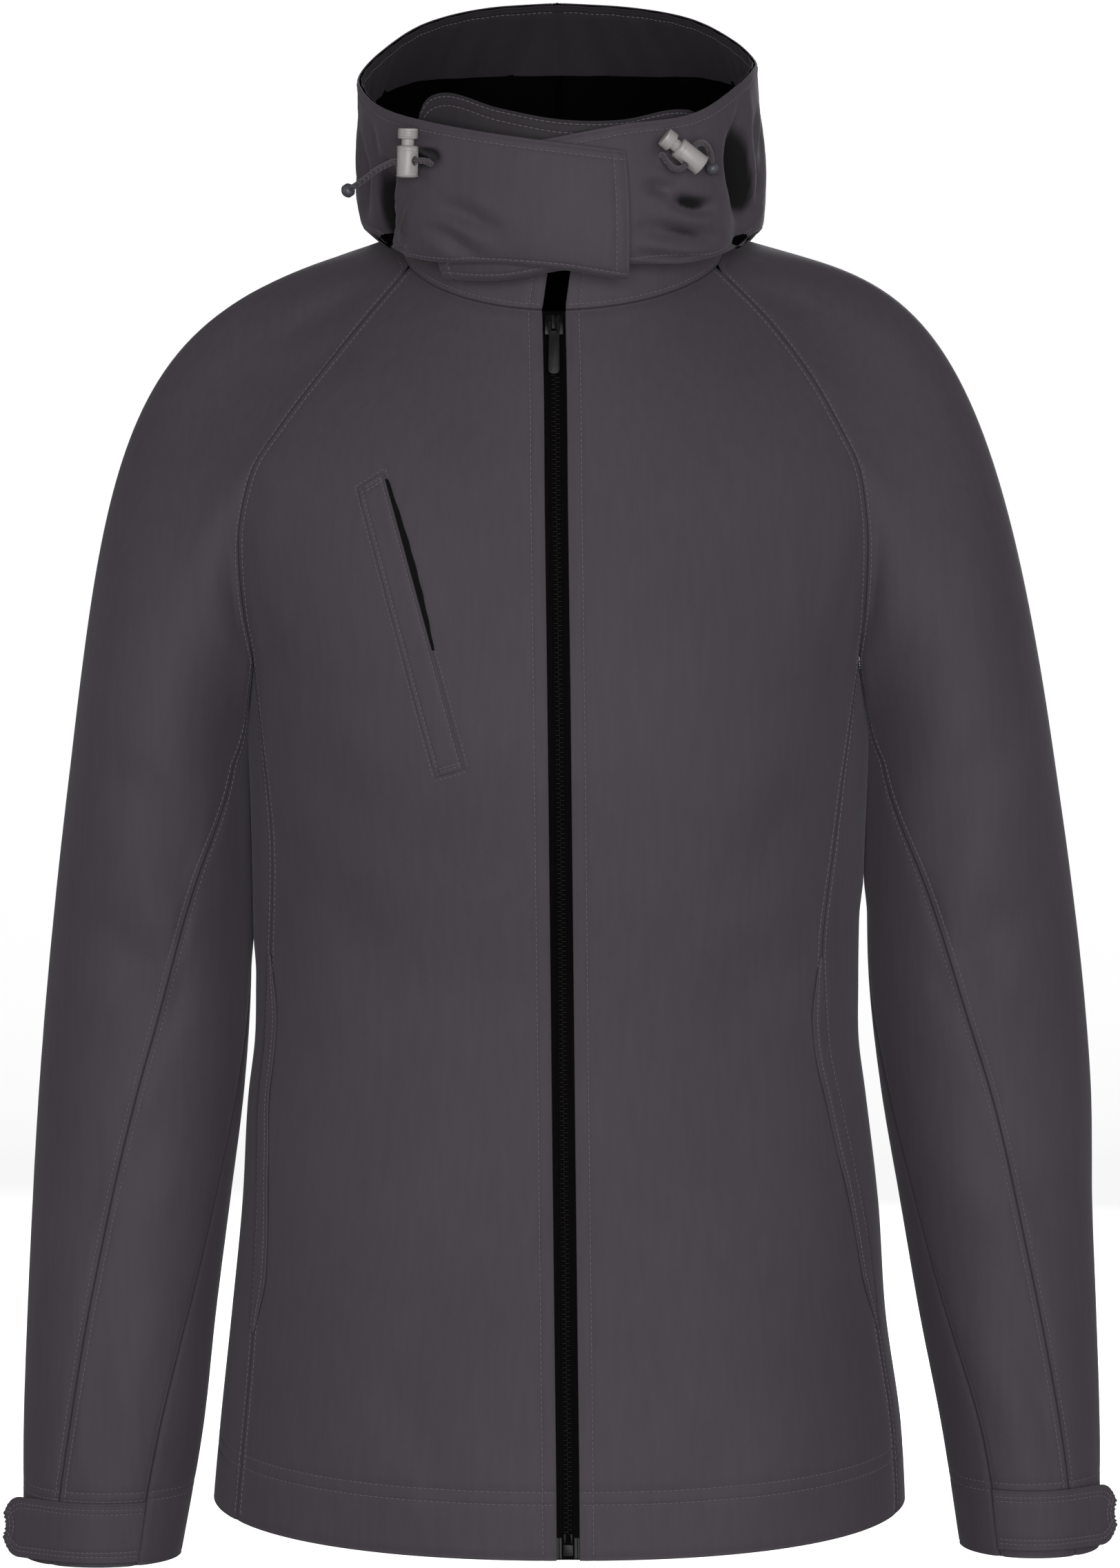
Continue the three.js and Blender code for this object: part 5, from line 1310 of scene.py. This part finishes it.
def finished(node, look, body="jacket", width=BEVEL):
    """A copy of a hard CAD piece with its edges rounded off, riding on the same body."""
    source = bpy.data.objects[node]
    mesh = source.data.copy()
    mesh.transform(source.matrix_world)
    mesh.materials.clear()
    mesh.materials.append(look.material)
    mesh.polygons.foreach_set("use_smooth", np.ones(len(mesh.polygons), bool))
    piece = bpy.data.objects.new(f"{node}_finished", mesh)
    bpy.context.collection.objects.link(piece)
    weld = piece.modifiers.new("weld", "WELD")
    weld.merge_threshold = WELD_GAP * MM
    bevel = piece.modifiers.new("bevel", "BEVEL")
    bevel.width = width * MM
    bevel.segments = 2
    bevel.limit_method = "ANGLE"
    bevel.angle_limit = math.radians(BEVEL_FROM)
    bevel.harden_normals = True
    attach(piece, body)
    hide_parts(node)
    return piece


for side in SIGN:
    surface = lambda u, v: zip_point(side, v * ALL_ROWS, mix(TAPE["inner"], TAPE["outer"], u))
    points, u, v = sampled(surface, 8, 150, TAPE["seam"])
    points = points - normals_of(points, side == "left") * TAPE["depth"]
    weave = 0.05 * np.sin(v * 900)
    tape, outer, normals = cloth(
        f"tape_{side}", points, tape_look, side == "left", TAPE["seam"], weave, TAPE["thickness"],
        [f"zip_tape_{side}"],
    )
    flat, area = flat_size(points)

# The coil is a rod from turn to turn, one to the left and one to the right, on a core down the middle
rows = np.linspace(COIL["first"], ALL_ROWS - COIL["last"], 400)
middle = np.stack([zip_point("left", rows, np.zeros(len(rows))) + (x, 0, 0) for x in (-1.0, 0.0, 1.0)])
out = normals_of(middle, True)[1]
line, out = even_along(middle[1] - out * COIL["depth"], out, COIL["pitch"] / 2)
along = unit(np.gradient(line, axis=0))
hand = np.where(np.arange(len(line)) % 2 == 0, -1.0, 1.0)[:, None]
across = unit(np.cross(out, along)) * hand
length = COIL["reach"] + COIL["over"]
shape, quads = pill(length, COIL["radius"])
shape[:, 2] += COIL["bow"] * (1 - (shape[:, 0] / length * 2) ** 2)
shape[:, 1] *= COIL["flat"]
spots = line + across * (COIL["reach"] - COIL["over"]) / 2
points, quads = copies(shape, quads, spots, np.stack([across, along * hand, out], axis=1))
core = tube(line, COIL["core"], COIL["core_sides"]).reshape(-1, 3)
core_faces = [[k + len(points) for k in face] for face in ring_faces(len(line), COIL["core_sides"])]
keep("coil", np.vstack([points, core]), quads.tolist() + core_faces, coil_look, replaces=["zip_chain"])

# The tape ends are stiffened by ribbed film, and a pin and the box post stand above the box
prong, quads = pill(POST["length"], POST["radius"])
beside = np.array([[-POST["apart"], 0, 0], [POST["apart"], 0, 0]])
spots = line[-1] + along[-1] * POST["above"] + beside + out[-1] * POST["lift"]
axes = np.stack([along[-1], across[-1], out[-1]])
points, quads = copies(prong, quads, spots, np.stack([axes, axes]))
keep("zip_posts", points, quads.tolist(), metal_look)
for side in SIGN:
    top, bottom = (ALL_ROWS - rows_up for rows_up in FILM["rows"])
    surface = lambda u, v: zip_point(side, mix(top, bottom, v), mix(*FILM["across"], u))
    points, u, v = sampled(surface, 20, 24, {})
    points = points - normals_of(points, side == "left") * (TAPE["depth"] - FILM["raised"])
    ribs = FILM["rib"] * np.sin(u * FILM["ribs"])
    cloth(f"tape_end_{side}", points, film_look, side == "left", {}, ribs, FILM["thickness"])

finished("zip_slider", metal_look)
finished("zip_pull", metal_look, body="pull_tab", width=0.3)
finished("zip_box", metal_look)


# Chest pocket on the right front: a slanting welt of softshell sewn into a stitched frame, with a
# near-black sheet beside it, painted shade in the slit of its opening.

# Corners of the welt, from the outer top one round by the inner top one; then its lift off the front
WELT = ((-103.8, -105.5), (-91.3, -97.7), (-49.4, -248.5), (-63.6, -253.1))
WELT_LIFT = 1.35
# The stitched frame round the welt, in shares of its width and length outside it
FRAME = {"beside": 0.13, "ends": 0.014, "corner": 0.012, "facing": (-0.25, -0.96, 0.05)}
# Steps towards a place on the front, and the share and the row over which its slopes are read
SOLVE = {"steps": 14, "share": 0.01, "row": 0.1}


def on_front(side, x, z):
    """Front panel points found by their place across and their height: from the middle of the panel,
    repeated steps of the error over the slope, across and down at once."""
    u = np.full(np.shape(x), 0.5)
    row = np.full(np.shape(x), float(YOKE_ROWS))
    for step in range(SOLVE["steps"]):
        found = body_point(side, u, row)
        across = (body_point(side, u + SOLVE["share"], row) - found)[..., 0] / SOLVE["share"]
        down = (body_point(side, u, row + SOLVE["row"]) - found)[..., 2] / SOLVE["row"]
        u = np.clip(u + (x - found[..., 0]) / across, 0.02, 0.985)
        row = np.clip(row + (z - found[..., 2]) / down, 0.1, ALL_ROWS)
    return body_point(side, u, row)


def welt_spot(across, down):
    """Place across and height on the welt, by shares from its outer top corner."""
    top_outer, top_inner, low_inner, low_outer = WELT
    spot = lambda k: mix(
        mix(top_outer[k], top_inner[k], across), mix(low_outer[k], low_inner[k], across), down,
    )
    return spot(0), spot(1)


welt_seams = {"first": (1.7,), "last": (1.7,), "top": (1.7, 3.4), "bottom": (1.7, 3.4)}
surface = lambda u, v: on_front("right", *welt_spot(1 - u, v))
points, u, v = sampled(surface, 10, 90, welt_seams)
points = points + normals_of(points, False) * WELT_LIFT
welt, outer, normals = cloth(
    "welt_chest", points, SHELL, False, welt_seams, 0.18 * np.sin(v * 17 + u), 0.9, ["chest_pocket_welt"],
)
paths = seam_paths(outer, normals, welt_seams)
thread = stitches("stitches_welt_chest", paths, THREAD, STITCH["short_pitch"])
frame_lines = []
left, right = -FRAME["beside"], 1 + FRAME["beside"]
corner, ends = FRAME["corner"], FRAME["ends"]
for across0, down0, across1, down1 in (
    (left, -corner, left, 1 + corner), (right, -corner, right, 1 + corner),
    (left, -ends, right, -ends), (left, 1 + ends, right, 1 + ends),
):
    t = np.linspace(0, 1, 60)
    points = on_front("right", *welt_spot(mix(across0, across1, t), mix(down0, down1, t)))
    frame_lines.append((points, np.broadcast_to(FRAME["facing"], points.shape)))
stitches("stitches_pocket_frame", frame_lines, THREAD, STITCH["short_pitch"])
flat, area = flat_size(np.asarray(outer))

# The slit, a sheet of painted shade: its stretch of the welt's inner edge, how far it gapes, and its place
# and lift
SLIT = {
    "from": 0.02, "to": 0.6, "gape": 3.2, "wave": 0.15, "aside": 0.6, "up": 0.2, "lift": 0.85, "sheet": 0.5,
}
u, v = np.meshgrid(np.linspace(0, 1, 7), np.linspace(0, 1, 60), indexing="ij")
x, z = welt_spot(1, mix(SLIT["from"], SLIT["to"], v))
gape = SLIT["gape"] * np.sin(np.pi * mix(0.12, 0.9, v)) + SLIT["wave"] * np.sin(v * 40)
points = on_front("right", x + SLIT["aside"] + (1 - u) * gape, z + SLIT["up"])
points = points + normals_of(points, False) * SLIT["lift"]
# Near-black painted shade for the pocket's opening, with a faint knit
slit_shade_look = Look("pocket_slit_painted_shade", "zip_tape", Roughness=0.85, Specular_IOR_Level=0.15)
knit = slit_shade_look.noise(500.0)
slit_shade_look.paint(knit, (0.0012, 0.001, 0.0011), (0.003, 0.0025, 0.0028))
cloth("slit", points, slit_shade_look, False, thickness=SLIT["sheet"], replaces=["chest_pocket_slit"])


# Side pockets: the folded edge of each opening lies along the side-front seam as a narrow welt of
# softshell, with a row of stitches down its free edge and one across each end.

SIDE_POCKET = {
    "top": -352, "bottom": -552, "width": 13, "from_seam": 0.8, "lift": 1.3, "thickness": 0.85,
    "row": (3.2,), "arc": 1.16,
}


def side_welt(side):
    """Side pocket welt: a strip of the front panel beside its seam, narrowing at both ends. The panel's
    arc is taken as its width across times a share."""
    top = armhole(side, float(FRONT_JOIN))[2]

    def surface(u, v):
        z = mix(SIDE_POCKET["top"], SIDE_POCKET["bottom"], v)
        row = YOKE_ROWS + BODY_ROWS * ((z - top) / (hem_at(SEAM_HEM_TURN["front"]) - top))
        width = SIDE_POCKET["width"] * ease(-0.6, 2, 12 * np.minimum(v, 1 - v))
        wide = body_row(side, row, False)[0][..., 0] - centre_point(row, False)[..., 0]
        far = 1 - (SIDE_POCKET["from_seam"] + width * (1 - u)) / (np.abs(wide) * SIDE_POCKET["arc"])
        return body_point(side, far, row)

    return surface


for side in SIGN:
    seams = {"first": SIDE_POCKET["row"]}
    points, u, v = sampled(side_welt(side), 6, 90, seams)
    points = points + normals_of(points, side == "left") * SIDE_POCKET["lift"]
    wavy = 0.2 * np.sin(v * 23) * (1 - u)
    welt, outer, normals = cloth(
        f"welt_{side}", points, SHELL, side == "left", seams, wavy, SIDE_POCKET["thickness"],
        [f"side_pocket_welt_{side}"],
    )
    paths = seam_paths(outer, normals, seams)
    for k in (3, -4):
        paths.append((outer[1:-1, k], normals[1:-1, k]))
    thread = stitches(f"stitches_welt_{side}", paths, THREAD, STITCH["short_pitch"])
    flat, area = flat_size(points)


# Cord locks: a moulded barrel with a sprung plunger. Pressing the plunger lines up the cross hole, and
# the spring grips the cord when it is let go. A small bead closes each cord's end.

LOCKS = {
    "right": {"at": (-78.6, -95.0, 63.4), "axis": (0.02, -0.05, 1), "along": (-0.8, 0.593, 0)},
    "left": {"at": (66.6, -99.6, 65.6), "axis": (-0.78, -0.18, 0.6), "along": (3.6, 2.2, 6)},
}
CORD_Z = 8.6
# Rings moulded round each barrel and each plunger: radius, height along the axis and girth
LOCK_RINGS = [(5.4, 0.9, 0.45), (5.35, 15.6, 0.4), (5.35, 13.9, 0.3)]
PLUNGER_RINGS = [(5.05, z, 0.32) for z in (21.0, 22.3, 23.6)]

plastic = Look("lock_plastic", "lock_plastic", Specular_IOR_Level=0.5)
speck = plastic.noise(600.0, 3.0)
plastic.paint(speck, (0.33, 0.305, 0.30), (0.40, 0.372, 0.365))
plastic.feed("Roughness", speck * 0.15 + 0.33)
plastic.relief(plastic.noise(1400.0), 0.00008, 0.3)
bead_look = Look("bead_plastic", "bead_plastic", Specular_IOR_Level=0.5)
bead_look.paint(bead_look.noise(500.0), (0.058, 0.055, 0.07), (0.08, 0.077, 0.095))
bead_look.feed("Roughness", bead_look.noise(800.0) * 0.15 + 0.36)


def hoop(radius, height, girth, sides=40, round_sides=8):
    """A thin ring round the Z axis, as points and quads: a small circle carried round a large one."""
    a = np.linspace(0, 2 * np.pi, sides, endpoint=False)[:, None]
    b = np.linspace(0, 2 * np.pi, round_sides, endpoint=False)[None, :]
    r = radius + girth * np.cos(b)
    points = np.stack([r * np.cos(a), r * np.sin(a), height + girth * np.sin(b) + 0 * a], -1).reshape(-1, 3)
    i, j = np.meshgrid(np.arange(sides), np.arange(round_sides), indexing="ij")
    n, k = (i + 1) % sides, (j + 1) % round_sides
    m = round_sides
    return points, np.stack([i * m + j, n * m + j, n * m + k, i * m + k], -1).reshape(-1, 4)


def rings(name, frame_axes, origin, hoops, look, body):
    """Several hoops as one mesh, turned to a lock's own axes and moved to its origin."""
    points, faces, used = [], [], 0
    for radius, height, girth in hoops:
        p, f = hoop(radius, height, girth)
        points.append(p @ frame_axes + origin)
        faces.append(f + used)
        used += len(p)
    return keep(name, np.vstack(points), np.vstack(faces).tolist(), look, body)


for side, spot in LOCKS.items():
    axis = unit(np.array(spot["axis"], float))
    y_axis = unit(np.cross(axis, np.array(spot["along"], float)))
    axes = np.stack([np.cross(y_axis, axis), y_axis, axis])
    origin = np.array(spot["at"]) - axis * CORD_Z
    lock = finished(f"cord_lock_{side}", plastic)
    plunger = finished(f"cord_plunger_{side}", plastic, body=f"plunger_{side}")
    lip = rings(f"lock_lip_{side}", axes, origin, LOCK_RINGS, plastic, "jacket")
    ribs = rings(f"plunger_ribs_{side}", axes, origin, PLUNGER_RINGS, plastic, f"plunger_{side}")
    bead = finished(f"cord_bead_{side}", bead_look, width=0.5)
    cord, path, length = cords[side]


# Stage: a pale floor that runs up into a pale, softly glowing backdrop, as for a catalogue picture. Seen
# from behind the backdrop is clear, so that it doesn't hide the jacket's back. A large soft light stands
# in front, with weaker ones at both sides and behind.

STAGE = {"floor": -1.02, "back": 4.8, "curve": 0.8, "half": 6.0, "front": -5.0, "top": 5.0}
a = np.linspace(0, np.pi / 2, 24)
bend_y = STAGE["back"] - STAGE["curve"] * (1 - np.sin(a))
bend_z = STAGE["floor"] + STAGE["curve"] * (1 - np.cos(a))
profile_y = np.concatenate([[STAGE["front"]], bend_y, [STAGE["back"]]])
profile_z = np.concatenate([[STAGE["floor"]], bend_z, [STAGE["top"]]])
corners = np.concatenate([at(x, profile_y, profile_z) for x in (-STAGE["half"], STAGE["half"])])
count = len(profile_y)
mesh = bpy.data.meshes.new("backdrop")
mesh.from_pydata(corners.tolist(), [], [(i, i + 1, count + i + 1, count + i) for i in range(count - 1)])
mesh.polygons.foreach_set("use_smooth", np.ones(count - 1, bool))
PAPER = {
    "Base Color": (0.86, 0.86, 0.86, 1), "Roughness": 0.9,
    "Emission Color": (1, 1, 1, 1), "Emission Strength": 0.8,
}
paper = bpy.data.materials.new("paper")
paper.use_nodes = True
shader = paper.node_tree.nodes["Principled BSDF"]
for socket, value in PAPER.items():
    shader.inputs[socket].default_value = value
from_front = paper.node_tree.nodes.new("ShaderNodeNewGeometry").outputs["Backfacing"]
paper.node_tree.links.new(from_front, shader.inputs["Alpha"])
mesh.materials.append(paper)
backdrop = bpy.data.objects.new("backdrop", mesh)
bpy.context.collection.objects.link(backdrop)
backdrop.visible_diffuse = False
backdrop.visible_glossy = False

# Each light: name, place, what it faces, size in metres, power in watts
LIGHTS = (
    ("front", (0.2, -3.3, -0.05), (0, 0, -0.35), 2.1, 90),
    ("side_right", (-3.0, -1.0, 0.6), (0, 0, -0.2), 1.6, 13),
    ("side_left", (3.0, -1.0, 0.4), (0, 0, -0.2), 1.6, 10),
    ("back", (0.4, 3.2, 0.6), (0, 0, -0.3), 1.8, 45),
)
for name, spot, aim, size, power in LIGHTS:
    data = bpy.data.lights.new(name, "AREA")
    data.size = size
    data.energy = power
    lamp = bpy.data.objects.new(name, data)
    bpy.context.collection.objects.link(lamp)
    lamp.visible_camera = False
    lamp.location = spot
    lamp.rotation_euler = (Vector(aim) - Vector(spot)).to_track_quat("-Z", "Y").to_euler()

world = bpy.data.worlds.new("studio")
world.use_nodes = True
world.node_tree.nodes["Background"].inputs["Color"].default_value = (1, 1, 1, 1)
world.node_tree.nodes["Background"].inputs["Strength"].default_value = 0.12
bpy.context.scene.world = world
bpy.context.scene.view_settings.view_transform = "Standard"
